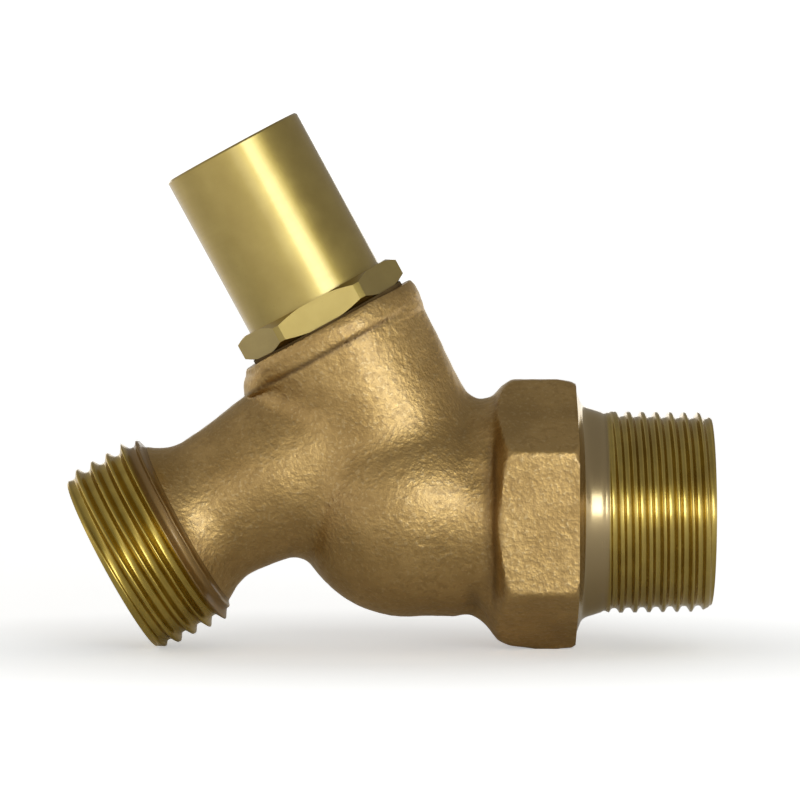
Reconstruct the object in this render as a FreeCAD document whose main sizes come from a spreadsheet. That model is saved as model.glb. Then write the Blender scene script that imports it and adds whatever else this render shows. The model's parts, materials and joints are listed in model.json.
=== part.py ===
import FreeCAD, Part
import os
import re

import Sketcher
from FreeCAD import Placement, Rotation, Vector

# Lock-shield hose bibb: a cast bronze valve body with a male pipe thread at the inlet and a male
# hose thread at the spout, closed by an inclined stem that a loose key turns inside a tall shield.
#
# Frame: the origin lies on the inlet axis, at the hand-tight plane of the pipe thread. X points out
# of the inlet end, Z points up, and Y is square to the plane of symmetry. The stem axis leans away
# from the inlet and crosses the inlet axis at one point. Heights of all that sits on the stem axis
# are counted from that point, outwards. Reaches of the spout are counted from the stem axis.

SIZES = (
    # Inlet end, with its tapered pipe thread
    ("inlet_end", 8.1),
    ("inlet_end_radius", 12.2),
    ("inlet_end_chamfer", 1.5),
    ("inlet_bore_radius", 9.0),
    ("inlet_bore_floor", 19.2),
    ("pipe_thread_pitch", 1.8143),
    ("pipe_thread_end_radius", 12.95),
    ("pipe_thread_taper", 1.79),
    ("pipe_land_radius", 13.1),
    ("pipe_land_width", 0.5),
    ("relief_start", 5.6),
    ("relief_radius", 12.8),
    ("relief_back_radius", 14.0),
    # Wrench boss behind it, which the casting holds a little below the thread's axis
    ("casting_drop", 0.28),
    ("boss_front", 9.2),
    ("boss_back", 21.1),
    ("boss_flats", 31.75),
    ("boss_corner_radius", 17.45),
    ("boss_crown", 0.44),
    ("boss_chamfer", 0.6),
    ("boss_round_length", 6.0),
    ("boss_round_depth", 3.05),
    # Barrel and globe
    ("barrel_radius", 13.25),
    ("barrel_flare", 22.9),
    ("globe_radius", 14.75),
    ("globe_back", 31.4),
    ("globe_rise", 1.15),
    # Stem axis
    ("stem_crossing", 28.2),
    ("stem_tilt", 28.6),
    # Neck
    ("neck_top", 27.6),
    ("neck_shift", 0.35),
    ("neck_foot", 13.0),
    ("neck_foot_radius", 11.8),
    ("neck_top_radius", 12.3),
    ("collar_height", 2.5),
    ("collar_radius", 12.6),
    ("collar_chamfer", 0.9),
    # Spout, with its hose thread
    ("spout_height", 13.85),
    ("spout_reach", 39.6),
    ("spout_root_radius", 10.85),
    ("spout_root_reach", 15.0),
    ("spout_waist_radius", 9.6),
    ("spout_waist_reach", 24.6),
    ("spout_flare", 3.6),
    ("land_radius", 13.25),
    ("land_width", 0.2),
    ("land_step", 1.6),
    ("land_reach", 28.85),
    ("hose_thread_radius", 13.08),
    ("hose_thread_pitch", 2.2087),
    ("spout_end_radius", 12.1),
    ("spout_end_chamfer", 1.1),
    ("spout_bore_radius", 6.5),
    ("outlet_bore_radius", 8.6),
    ("outlet_bore_depth", 12.0),
    # Waterway round the seat
    ("throat_radius", 6.0),
    ("throat_drop", 2.0),
    ("lower_chamber_radius", 8.2),
    ("lower_chamber_depth", 7.5),
    ("seat_underside", 3.5),
    ("seat_floor", 5.6),
    ("seat_height", 1.2),
    ("seat_bore_radius", 5.2),
    ("seat_rim_radius", 6.7),
    ("upper_chamber_radius", 9.2),
    # Thread between neck and bonnet
    ("bonnet_thread_radius", 8.73),
    ("bonnet_thread_pitch", 1.27),
    ("bonnet_bottom", 20.4),
    ("neck_counterbore", 1.0),
    # Bonnet with its hexagon, stem thread, packing box and shield
    ("gasket_thickness", 0.7),
    ("gasket_radius", 10.25),
    ("flange_thickness", 3.4),
    ("flange_flats", 20.64),
    ("flange_corner_radius", 11.65),
    ("flange_chamfer", 0.7),
    ("shield_radius", 9.5),
    ("shield_bore_radius", 8.25),
    ("shield_top", 53.9),
    ("rim_chamfer", 0.25),
    ("hub_pocket_depth", 1.7),
    ("stem_thread_top", 32.3),
    ("box_shoulder", 1.0),
    ("stem_relief", 3.3),
    ("box_counterbore", 1.1),
    # Stem
    ("stem_thread_radius", 5.56),
    ("stem_thread_pitch", 2.54),
    ("stem_thread_bottom", 18.2),
    ("stem_thread_length", 8.8),
    ("shank_radius", 4.2),
    ("stem_end", 48.6),
    ("key_flats", 6.35),
    ("key_length", 4.6),
    ("button_radius", 4.1),
    ("button_thickness", 1.8),
    ("stem_groove_radius", 2.9),
    ("stem_groove_width", 1.2),
    # Packing and what presses it
    ("packing_length", 3.4),
    ("gland_length", 1.4),
    ("packing_nut_radius", 6.35),
    ("packing_nut_pitch", 1.058),
    ("packing_nut_thread", 3.6),
    ("packing_nut_head", 2.8),
    ("packing_nut_flats", 12.7),
    ("nut_head_gap", 0.3),
    # Swivel disc with its washer and screw
    ("washer_radius", 6.75),
    ("washer_thickness", 3.0),
    ("washer_hole_radius", 2.6),
    ("disc_floor", 2.75),
    ("disc_radius", 7.6),
    ("disc_rim", 1.5),
    ("hub_radius", 5.6),
    ("hub_length", 4.1),
    ("ring_thickness", 0.7),
    ("ring_radius", 4.85),
    ("ring_inner_radius", 3.1),
    ("ring_gap", 50.0),
    ("screw_radius", 2.41),
    ("screw_pitch", 1.058),
    ("screw_end", 0.2),
    ("screw_head_radius", 3.6),
    ("screw_head", 1.9),
    ("screw_slot_width", 0.9),
    ("screw_slot_depth", 0.9),
    # Clearances
    ("seat_gap", 0.05),
    ("running_gap", 0.05),
    ("swivel_play", 0.1),
    ("thread_play", 0.05),
    ("stem_thread_play", 0.15),
    ("stem_thread_room", 0.25),
    ("small_gap", 0.1),
)

# Share of the pitch that each crest keeps, and half the angle between flanks, for the thread forms
V_THREAD = ("0.125", "30 deg")
PIPE_THREAD = ("0.038", "30 deg")
TRAPEZOID_THREAD = ("0.3707", "14.5 deg")


def depth_of(form, pitch):
    """Depth of a thread between its crest and its root."""
    flat, flank = form
    return f"((0.5 - {flat}) * {pitch} / tan({flank}))"


# Bores that take a male thread, each a little wider than that thread's root
NECK_BORE = f"(bonnet_thread_radius - {depth_of(V_THREAD, 'bonnet_thread_pitch')} + small_gap)"
BOX_BORE = f"(packing_nut_radius - {depth_of(V_THREAD, 'packing_nut_pitch')} + small_gap)"
SCREW_BORE = f"(screw_radius - {depth_of(V_THREAD, 'screw_pitch')} + small_gap)"
STEM_ROOT = f"(stem_thread_radius - {depth_of(TRAPEZOID_THREAD, 'stem_thread_pitch')})"
STEM_BORE = f"({STEM_ROOT} + stem_thread_room)"
STEM_RELIEF = "(stem_thread_radius + stem_thread_room)"
HUB_POCKET = "(hub_radius + 2 * stem_thread_room)"

# Places along the stem axis that several pieces share, outwards from the crossing
SEAT_TOP = "(seat_floor + seat_height)"
WASHER_BOTTOM = f"({SEAT_TOP} + seat_gap)"
DISC_BOTTOM = f"({WASHER_BOTTOM} + washer_thickness)"
SOCKET_FLOOR = f"({DISC_BOTTOM} + disc_floor)"
BUTTON_BOTTOM = f"({SOCKET_FLOOR} + swivel_play)"
BUTTON_TOP = f"({BUTTON_BOTTOM} + button_thickness)"
GROOVE_TOP = f"({BUTTON_TOP} + stem_groove_width)"
RING_BOTTOM = f"({BUTTON_TOP} + (stem_groove_width - ring_thickness) / 2)"
HUB_TOP = f"({SOCKET_FLOOR} + hub_length)"
FLANGE_BOTTOM = "(neck_top + gasket_thickness)"
FLANGE_TOP = f"({FLANGE_BOTTOM} + flange_thickness)"
HUB_POCKET_TOP = "(bonnet_bottom + hub_pocket_depth)"
BOX_FLOOR = "(stem_thread_top + box_shoulder)"
GLAND_BOTTOM = f"({BOX_FLOOR} + packing_length)"
NUT_BOTTOM = f"({GLAND_BOTTOM} + gland_length)"
NUT_HEAD = f"({NUT_BOTTOM} + packing_nut_thread)"
NUT_TOP = f"({NUT_HEAD} + packing_nut_head)"
BOX_TOP = f"({NUT_HEAD} - nut_head_gap)"
STEM_THREAD_END = "(stem_thread_bottom + stem_thread_length)"

# Where the groove of each male thread passes the plane of symmetry, which sets its mate's place too
BONNET_THREAD_START = "(neck_top + 0.1 * bonnet_thread_pitch)"
STEM_THREAD_START = "(stem_thread_top - stem_relief / 2 + stem_thread_pitch / 2)"
NUT_THREAD_START = f"({NUT_HEAD} - packing_nut_pitch / 2)"
SCREW_THREAD_START = f"({SOCKET_FLOOR} + screw_pitch)"

doc = FreeCAD.newDocument("hose_bibb")


def make_sheet():
    """Write every driving dimension into the sheet, as a plain number under its name."""
    sheet = doc.addObject("Spreadsheet::Sheet", "Sizes")
    for row, (name, value) in enumerate(SIZES, start=1):
        sheet.set(f"A{row}", name)
        sheet.set(f"B{row}", str(value))
        sheet.setAlias(f"B{row}", name)
    doc.recompute()
    return sheet


def bound(text):
    """The expression with each size name pointing at its cell in the sheet."""
    return re.sub(r"\b(?!(?:sqrt|sin|cos|tan|deg)\b)([a-z]\w+)", r"Sizes.\1", text)


def bind(thing, prop, text):
    thing.setExpression(prop, bound(text))


def new_body(name, on_stem_axis=True):
    """An empty sub-part. On the stem axis, its own Z points outwards along that axis."""
    body = doc.addObject("PartDesign::Body", name)
    body.Label = name
    if on_stem_axis:
        body.Placement = Placement(Vector(), Rotation(Vector(0, -1, 0), 10))
        bind(body, ".Placement.Rotation.Angle", "stem_tilt")
        bind(body, ".Placement.Base.x", "-stem_crossing")
    return body


def new_sketch(body, name, role="XZ_Plane", x="0", y="0", z="0", turn="0"):
    """A sketch on one of the body's own planes, moved in that plane and turned in it."""
    sketch = body.newObject("Sketcher::SketchObject", name)
    plane = next(f for f in body.Origin.OriginFeatures if f.Role == role)
    sketch.AttachmentSupport = [(plane, "")]
    sketch.MapMode = "FlatFace"
    sketch.AttachmentOffset = Placement(Vector(), Rotation(Vector(0, 0, 1), 10))
    bind(sketch, ".AttachmentOffset.Rotation.Angle", turn)
    bind(sketch, ".AttachmentOffset.Base.x", x)
    bind(sketch, ".AttachmentOffset.Base.y", y)
    bind(sketch, ".AttachmentOffset.Base.z", z)
    return sketch


def stem_sketch(body, name, shift="0", height="0"):
    """A sketch in the plane of symmetry of the valve body, with Y along the stem axis."""
    return new_sketch(
        body,
        name,
        x=f"-stem_crossing + ({shift}) * cos(stem_tilt * 1 deg) - ({height}) * sin(stem_tilt * 1 deg)",
        y=f"({shift}) * sin(stem_tilt * 1 deg) + ({height}) * cos(stem_tilt * 1 deg)",
        turn="stem_tilt",
    )


def place_point(sketch, edge, end, point):
    """Hold one end of an edge at a pair of expressions."""
    for kind, text in zip(("DistanceX", "DistanceY"), point):
        index = sketch.addConstraint(Sketcher.Constraint(kind, edge, end, 1.0))
        bind(sketch, f"Constraints[{index}]", text)


def outline(sketch, points):
    """A closed outline of straight edges through points that are pairs of expressions."""
    first, count = sketch.GeometryCount, len(points)
    for i in range(count):
        start, stop = Vector(i, i * i, 0), Vector(i + 1, (i + 1) ** 2, 0)
        sketch.addGeometry(Part.LineSegment(start, stop), False)
    for i in range(count):
        edge, following = first + i, first + (i + 1) % count
        sketch.addConstraint(Sketcher.Constraint("Coincident", edge, 2, following, 1))
        place_point(sketch, edge, 1, points[i])
    return sketch


def circle(sketch, radius):
    """A circle about the sketch's own origin."""
    edge = sketch.addGeometry(Part.Circle(Vector(), Vector(0, 0, 1), 5), False)
    sketch.addConstraint(Sketcher.Constraint("Coincident", edge, 3, -1, 1))
    index = sketch.addConstraint(Sketcher.Constraint("Radius", edge, 5))
    bind(sketch, f"Constraints[{index}]", radius)
    return sketch


def half_disc(sketch, radius):
    """Half a disc to the right of the sketch's Y axis, centred on its origin."""
    arc = Part.ArcOfCircle(Part.Circle(Vector(), Vector(0, 0, 1), 5), -1.5708, 1.5708)
    curve = sketch.addGeometry(arc, False)
    chord = sketch.addGeometry(Part.LineSegment(Vector(0, 5, 0), Vector(0, -5, 0)), False)
    sketch.addConstraint(Sketcher.Constraint("Coincident", curve, 2, chord, 1))
    sketch.addConstraint(Sketcher.Constraint("Coincident", curve, 1, chord, 2))
    sketch.addConstraint(Sketcher.Constraint("Coincident", curve, 3, -1, 1))
    sketch.addConstraint(Sketcher.Constraint("PointOnObject", chord, 1, -2))
    sketch.addConstraint(Sketcher.Constraint("PointOnObject", chord, 2, -2))
    index = sketch.addConstraint(Sketcher.Constraint("Radius", curve, 5))
    bind(sketch, f"Constraints[{index}]", radius)
    return sketch


def hexagon(sketch, flats, corners_up):
    """A regular hexagon about the sketch's origin, with corners on its Y axis or its X axis."""
    corner, half, flat = f"{flats} / sqrt(3)", f"{flats} / sqrt(3) / 2", f"{flats} / 2"
    points = [
        ("0", corner),
        (flat, half),
        (flat, f"-{half}"),
        ("0", f"-{corner}"),
        (f"-{flat}", f"-{half}"),
        (f"-{flat}", half),
    ]
    if not corners_up:
        points = [(y, x) for x, y in points]
    return outline(sketch, points)


def turned(body, kind, name, sketch, axis="V_Axis"):
    """Turn the sketch once about one of its axes, to add metal or to take it away."""
    feature = body.newObject(f"PartDesign::{kind}", name)
    feature.Profile = sketch
    feature.ReferenceAxis = (sketch, [axis])
    feature.Angle = 360
    doc.recompute()
    return feature


def extruded(body, kind, name, sketch, length, reverse=False):
    feature = body.newObject(f"PartDesign::{kind}", name)
    feature.Profile = sketch
    bind(feature, "Length", length)
    feature.Reversed = reverse
    doc.recompute()
    return feature


def thread(body, name, sketch, form, pitch, crest, start, stop, axis="V_Axis", taper="0"):
    """Cut a right-hand male thread, from its start on the axis down to a lower stop."""
    flat, flank = form
    over = f"0.4 * {flat} * {pitch} / tan({flank})"
    mouth = f"({pitch} * (1 - {flat}) / 2 + {over} * tan({flank}))"
    root = f"({pitch} * {flat} / 2)"
    points = [
        (f"{crest} + {over}", f"{start} - {mouth}"),
        (f"{crest} - {depth_of(form, pitch)}", f"{start} - {root}"),
        (f"{crest} - {depth_of(form, pitch)}", f"{start} + {root}"),
        (f"{crest} + {over}", f"{start} + {mouth}"),
    ]
    helix(body, name, sketch, points, pitch, f"{start} - ({stop})", axis, taper)


def female_thread(body, name, sketch, form, pitch, crest, start, stop, play, room):
    """Cut the mate of a male thread, half a pitch above its start, with play all round."""
    flat, flank = form
    inner = f"({crest} - {depth_of(form, pitch)})"
    mouth = f"({pitch} * (1 - {flat}) / 2 + {play})"
    root = f"({pitch} * {flat} / 2 - {room} * tan({flank}) + {play})"
    middle = f"({start} + {pitch} / 2)"
    points = [
        (inner, f"{middle} - {mouth}"),
        (f"{crest} + {room}", f"{middle} - {root}"),
        (f"{crest} + {room}", f"{middle} + {root}"),
        (inner, f"{middle} + {mouth}"),
    ]
    helix(body, name, sketch, points, pitch, f"{middle} - ({stop})", "V_Axis", "0")


def helix(body, name, sketch, points, pitch, length, axis, taper):
    """Cut the outline along a right-hand helix that runs down the axis."""
    if axis == "H_Axis":
        points = [(y, x) for x, y in points]
    outline(sketch, points)
    feature = body.newObject("PartDesign::SubtractiveHelix", name)
    feature.Profile = sketch
    feature.ReferenceAxis = (sketch, [axis])
    feature.Mode = "pitch-height-angle"
    feature.Reversed = True
    bind(feature, "Pitch", pitch)
    bind(feature, "Height", length)
    bind(feature, "Angle", taper)
    doc.recompute()


def cast_outside(body):
    """The outside of the casting, before any bore is cut."""
    inlet = new_sketch(body, "InletOutline")
    outline(
        inlet,
        [
            ("inlet_end", "0"),
            ("inlet_end", "inlet_end_radius"),
            ("inlet_end - inlet_end_chamfer", "pipe_thread_end_radius"),
            ("-relief_start + pipe_land_width", "pipe_land_radius"),
            ("-relief_start", "pipe_land_radius"),
            ("-relief_start", "0"),
        ],
    )
    turned(body, "Revolution", "Inlet", inlet, "H_Axis")
    barrel = new_sketch(body, "BarrelOutline", y="-casting_drop")
    outline(
        barrel,
        [
            ("-relief_start", "0"),
            ("-relief_start", "relief_radius"),
            ("-boss_front", "relief_back_radius"),
            ("-boss_back", "boss_corner_radius - boss_round_depth"),
            ("-barrel_flare", "barrel_radius"),
            ("-globe_back", "barrel_radius"),
            ("-globe_back", "0"),
        ],
    )
    turned(body, "Revolution", "Barrel", barrel, "H_Axis")
    globe = new_sketch(body, "GlobeOutline", x="-globe_back", y="globe_rise")
    turned(body, "Revolution", "Globe", half_disc(globe, "globe_radius"))
    neck = stem_sketch(body, "NeckOutline", shift="-neck_shift")
    outline(
        neck,
        [
            ("0", "0"),
            ("neck_foot_radius", "0"),
            ("neck_foot_radius", "neck_foot"),
            ("neck_top_radius", "neck_top - collar_height"),
            ("collar_radius", "neck_top - collar_height"),
            ("collar_radius", "neck_top - collar_chamfer"),
            ("collar_radius - collar_chamfer", "neck_top"),
            ("0", "neck_top"),
        ],
    )
    turned(body, "Revolution", "Neck", neck)
    spout = stem_sketch(body, "SpoutOutline", height="spout_height")
    outline(
        spout,
        [
            ("0", "0"),
            ("0", "spout_root_radius"),
            ("-spout_root_reach", "spout_root_radius"),
            ("-spout_waist_reach + spout_flare", "spout_waist_radius + 0.1 * spout_flare"),
            ("-spout_waist_reach", "spout_waist_radius"),
            ("-spout_waist_reach - 0.6 * spout_flare", "spout_waist_radius + 0.12 * spout_flare"),
            ("-spout_waist_reach - spout_flare", "spout_waist_radius + 0.42 * spout_flare"),
            ("-land_reach", "land_radius - land_step"),
            ("-land_reach", "land_radius"),
            ("-land_reach - land_width", "land_radius"),
            ("-land_reach - land_width", "hose_thread_radius"),
            ("-spout_reach + spout_end_chamfer", "hose_thread_radius"),
            ("-spout_reach", "spout_end_radius"),
            ("-spout_reach", "0"),
        ],
    )
    turned(body, "Revolution", "Spout", spout, "H_Axis")


def wrench_boss(body):
    """The hexagon for the wrench, with corners up and down, turned down to rounded corners."""
    faces = new_sketch(body, "BossHexagon", "YZ_Plane", y="-casting_drop", z="-boss_back")
    hexagon(faces, "boss_flats", corners_up=True)
    extruded(body, "Pad", "Boss", faces, "boss_back - boss_front")
    trim = new_sketch(body, "BossTrim", y="-casting_drop")
    # The rounded back edge, as shares of its length and of its depth below the corners
    rounding = [(0, 1), (0.15, 0.6), (0.38, 0.23), (0.65, 0.05), (1, 0)]
    back_edge = [
        (f"-boss_back + {along} * boss_round_length", f"boss_corner_radius - {below} * boss_round_depth")
        for along, below in rounding
    ]
    outline(
        trim,
        back_edge
        + [
            ("-boss_front - 0.25 * boss_round_length", "boss_corner_radius - 0.3 * boss_crown"),
            ("-boss_front - boss_chamfer", "boss_corner_radius - boss_crown"),
            ("-boss_front", "boss_corner_radius - boss_crown - boss_chamfer"),
            ("-boss_front", "boss_flats"),
            ("-boss_back - boss_chamfer", "boss_flats"),
            ("-boss_back - boss_chamfer", "boss_corner_radius - boss_round_depth"),
        ],
    )
    turned(body, "Groove", "BossCorners", trim, "H_Axis")


def inlet_waterway(body):
    """The bore from the inlet, and the smaller throat that leads under the seat."""
    bore = new_sketch(body, "InletBoreCircle", "YZ_Plane", z="-inlet_bore_floor")
    circle(bore, "inlet_bore_radius")
    extruded(body, "Pocket", "InletBore", bore, "inlet_bore_floor + inlet_end + 1", True)
    throat = new_sketch(body, "ThroatCircle", "YZ_Plane", y="-throat_drop", z="-stem_crossing")
    circle(throat, "throat_radius")
    extruded(body, "Pocket", "Throat", throat, "stem_crossing - inlet_bore_floor + 1", True)


def seat_and_chambers(body):
    """The room under the seat, the seat's own bore, and the room above it up to the neck."""
    lower = stem_sketch(body, "LowerChamberOutline")
    outline(
        lower,
        [
            ("0", "-lower_chamber_depth"),
            ("0.55 * lower_chamber_radius", "-lower_chamber_depth"),
            ("lower_chamber_radius", "-0.4 * lower_chamber_depth"),
            ("lower_chamber_radius", "seat_underside - 1"),
            ("lower_chamber_radius - 1", "seat_underside"),
            ("0", "seat_underside"),
        ],
    )
    turned(body, "Groove", "LowerChamber", lower)
    upper = stem_sketch(body, "UpperChamberOutline")
    outline(
        upper,
        [
            ("0", "seat_underside - 1"),
            ("seat_bore_radius", "seat_underside - 1"),
            ("seat_bore_radius", SEAT_TOP),
            ("seat_rim_radius - 0.3 * seat_height", SEAT_TOP),
            ("seat_rim_radius", "seat_floor + 0.5 * seat_height"),
            ("seat_rim_radius", "seat_floor"),
            ("upper_chamber_radius - 1", "seat_floor"),
            ("upper_chamber_radius", "seat_floor + 1"),
            ("upper_chamber_radius", "bonnet_bottom - 1"),
            (NECK_BORE, "bonnet_bottom"),
            (NECK_BORE, "neck_top - neck_counterbore - 0.7"),
            ("bonnet_thread_radius + small_gap", "neck_top - neck_counterbore"),
            ("bonnet_thread_radius + small_gap", "neck_top"),
            ("0", "neck_top"),
        ],
    )
    turned(body, "Groove", "UpperChamber", upper)


def spout_waterway(body):
    """The bore of the spout, wider at its mouth."""
    sketch = stem_sketch(body, "SpoutBoreOutline", height="spout_height")
    outline(
        sketch,
        [
            ("0", "0"),
            ("0", "spout_bore_radius"),
            ("-spout_reach + outlet_bore_depth + 2", "spout_bore_radius"),
            ("-spout_reach + outlet_bore_depth", "outlet_bore_radius"),
            ("-spout_reach - 1", "outlet_bore_radius"),
            ("-spout_reach - 1", "0"),
        ],
    )
    turned(body, "Groove", "SpoutBore", sketch, "H_Axis")


def valve_body():
    """The casting, with its three machined threads, seat and waterways."""
    body = new_body("valve_body", on_stem_axis=False)
    cast_outside(body)
    wrench_boss(body)
    inlet_waterway(body)
    seat_and_chambers(body)
    spout_waterway(body)
    thread(
        body,
        "PipeThread",
        new_sketch(body, "PipeThreadForm"),
        PIPE_THREAD,
        "pipe_thread_pitch",
        "(pipe_thread_end_radius - 1.55 * pipe_thread_pitch * tan(pipe_thread_taper * 1 deg))",
        "(inlet_end + 1.55 * pipe_thread_pitch)",
        "-relief_start + pipe_land_width + 0.6 * pipe_thread_pitch",
        "H_Axis",
        "pipe_thread_taper",
    )
    thread(
        body,
        "HoseThread",
        stem_sketch(body, "HoseThreadForm", height="spout_height"),
        V_THREAD,
        "hose_thread_pitch",
        "hose_thread_radius",
        "(-land_reach - land_width - hose_thread_pitch / 2)",
        "-spout_reach - hose_thread_pitch",
        "H_Axis",
    )
    female_thread(
        body,
        "NeckThread",
        stem_sketch(body, "NeckThreadForm"),
        V_THREAD,
        "bonnet_thread_pitch",
        "bonnet_thread_radius",
        f"({BONNET_THREAD_START} + bonnet_thread_pitch)",
        "bonnet_bottom - 0.4 * bonnet_thread_pitch",
        "thread_play",
        "small_gap",
    )
    return body


def bonnet():
    """The shield with its hexagon, made from one bar: it screws into the neck and guides the stem."""
    body = new_body("lock_shield_bonnet")
    flange = new_sketch(body, "FlangeHexagon", "XY_Plane", z=FLANGE_BOTTOM)
    hexagon(flange, "flange_flats", corners_up=False)
    extruded(body, "Pad", "Flange", flange, "flange_thickness")
    corner = "flange_corner_radius - 1.6 * flange_chamfer"
    trim = new_sketch(body, "FlangeTrim")
    outline(
        trim,
        [
            (corner, FLANGE_BOTTOM),
            ("flange_corner_radius", f"{FLANGE_BOTTOM} + flange_chamfer"),
            ("flange_corner_radius", f"{FLANGE_TOP} - flange_chamfer"),
            (corner, FLANGE_TOP),
            ("flange_flats", FLANGE_TOP),
            ("flange_flats", FLANGE_BOTTOM),
        ],
    )
    turned(body, "Groove", "FlangeCorners", trim)
    shell = new_sketch(body, "ShieldOutline")
    outline(
        shell,
        [
            ("0", "bonnet_bottom"),
            ("bonnet_thread_radius - 0.5 * bonnet_thread_pitch", "bonnet_bottom"),
            ("bonnet_thread_radius", "bonnet_bottom + 0.5 * bonnet_thread_pitch"),
            ("bonnet_thread_radius", FLANGE_BOTTOM),
            ("shield_radius", FLANGE_BOTTOM),
            ("shield_radius", "shield_top - rim_chamfer"),
            ("shield_radius - rim_chamfer", "shield_top"),
            ("0", "shield_top"),
        ],
    )
    turned(body, "Revolution", "Shield", shell)
    inside = new_sketch(body, "InsideOutline")
    outline(
        inside,
        [
            ("0", "bonnet_bottom - 1"),
            (HUB_POCKET, "bonnet_bottom - 1"),
            (HUB_POCKET, HUB_POCKET_TOP),
            (STEM_BORE, HUB_POCKET_TOP),
            (STEM_BORE, "stem_thread_top - stem_relief"),
            (STEM_RELIEF, "stem_thread_top - stem_relief"),
            (STEM_RELIEF, "stem_thread_top"),
            ("shank_radius + running_gap", "stem_thread_top"),
            ("shank_radius + running_gap", BOX_FLOOR),
            (BOX_BORE, BOX_FLOOR),
            (BOX_BORE, f"{BOX_TOP} - box_counterbore"),
            ("packing_nut_radius + small_gap", f"{BOX_TOP} - box_counterbore"),
            ("packing_nut_radius + small_gap", BOX_TOP),
            ("shield_bore_radius", BOX_TOP),
            ("shield_bore_radius", "shield_top - rim_chamfer"),
            ("shield_bore_radius + rim_chamfer", "shield_top"),
            ("0", "shield_top"),
        ],
    )
    turned(body, "Groove", "Inside", inside)
    thread(
        body,
        "BonnetThread",
        new_sketch(body, "BonnetThreadForm"),
        V_THREAD,
        "bonnet_thread_pitch",
        "bonnet_thread_radius",
        BONNET_THREAD_START,
        "bonnet_bottom - bonnet_thread_pitch",
    )
    female_thread(
        body,
        "StemNutThread",
        new_sketch(body, "StemNutThreadForm"),
        TRAPEZOID_THREAD,
        "stem_thread_pitch",
        "stem_thread_radius",
        f"({STEM_THREAD_START} - stem_thread_pitch)",
        f"{HUB_POCKET_TOP} - stem_thread_pitch",
        "stem_thread_play",
        "stem_thread_room",
    )
    female_thread(
        body,
        "BoxThread",
        new_sketch(body, "BoxThreadForm"),
        V_THREAD,
        "packing_nut_pitch",
        "packing_nut_radius",
        f"({NUT_THREAD_START} + packing_nut_pitch)",
        f"{NUT_BOTTOM} - packing_nut_pitch",
        "thread_play",
        "small_gap",
    )
    return body


def ring(name, inner, outer, bottom, top):
    """A plain ring on the stem axis."""
    body = new_body(name)
    sketch = new_sketch(body, name + "Outline")
    outline(sketch, [(inner, bottom), (outer, bottom), (outer, top), (inner, top)])
    turned(body, "Revolution", name + "Ring", sketch)
    return body


def stem():
    """The stem: button below, trapezoid thread, smooth shank and a square for the loose key."""
    body = new_body("stem")
    sketch = new_sketch(body, "StemOutline")
    outline(
        sketch,
        [
            ("0", BUTTON_BOTTOM),
            ("button_radius - 0.3", BUTTON_BOTTOM),
            ("button_radius", f"{BUTTON_BOTTOM} + 0.3"),
            ("button_radius", BUTTON_TOP),
            ("stem_groove_radius", BUTTON_TOP),
            ("stem_groove_radius", GROOVE_TOP),
            ("button_radius", GROOVE_TOP),
            ("button_radius", "stem_thread_bottom"),
            ("stem_thread_radius", "stem_thread_bottom"),
            ("stem_thread_radius", STEM_THREAD_END),
            ("shank_radius", STEM_THREAD_END),
            ("shank_radius", "stem_end - 0.5"),
            ("shank_radius - 0.5", "stem_end"),
            ("0", "stem_end"),
        ],
    )
    turned(body, "Revolution", "Turned", sketch)
    thread(
        body,
        "StemThread",
        new_sketch(body, "StemThreadForm"),
        TRAPEZOID_THREAD,
        "stem_thread_pitch",
        "stem_thread_radius",
        STEM_THREAD_START,
        "stem_thread_bottom - stem_thread_pitch",
    )
    square = new_sketch(body, "KeySquare", "XY_Plane", z="stem_end - key_length")
    circle(square, "2 * shank_radius")
    side = "key_flats / 2"
    corners = [(side, side), ("-" + side, side), ("-" + side, "-" + side), (side, "-" + side)]
    outline(square, corners)
    extruded(body, "Pocket", "Square", square, "key_length + 1", True)
    return body


def packing_nut():
    """The hexagon nut inside the shield that presses the gland on the packing."""
    body = new_body("packing_nut")
    head = new_sketch(body, "NutHexagon", "XY_Plane", z=NUT_HEAD)
    hexagon(head, "packing_nut_flats", corners_up=False)
    extruded(body, "Pad", "Head", head, "packing_nut_head")
    corner = "packing_nut_flats / sqrt(3)"
    trim = new_sketch(body, "NutTrim")
    outline(
        trim,
        [
            (f"{corner} - 0.1", NUT_TOP),
            (f"{corner} - 0.9", NUT_TOP),
            (f"{corner} - 0.1", f"{NUT_TOP} - 0.5"),
            (f"{corner} - 0.1", NUT_HEAD),
            (f"{corner} + 1", NUT_HEAD),
            (f"{corner} + 1", NUT_TOP),
        ],
    )
    turned(body, "Groove", "HeadCorners", trim)
    shank = new_sketch(body, "NutOutline")
    outline(
        shank,
        [
            ("0", NUT_BOTTOM),
            ("packing_nut_radius - 0.4", NUT_BOTTOM),
            ("packing_nut_radius", f"{NUT_BOTTOM} + 0.4"),
            ("packing_nut_radius", NUT_HEAD),
            ("0", NUT_HEAD),
        ],
    )
    turned(body, "Revolution", "Shank", shank)
    bore = new_sketch(body, "NutBoreCircle", "XY_Plane", z=NUT_BOTTOM)
    circle(bore, "shank_radius + small_gap")
    extruded(body, "Pocket", "Bore", bore, "packing_nut_thread + packing_nut_head + 1", True)
    thread(
        body,
        "NutThread",
        new_sketch(body, "NutThreadForm"),
        V_THREAD,
        "packing_nut_pitch",
        "packing_nut_radius",
        NUT_THREAD_START,
        f"{NUT_BOTTOM} - packing_nut_pitch",
    )
    return body


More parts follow.
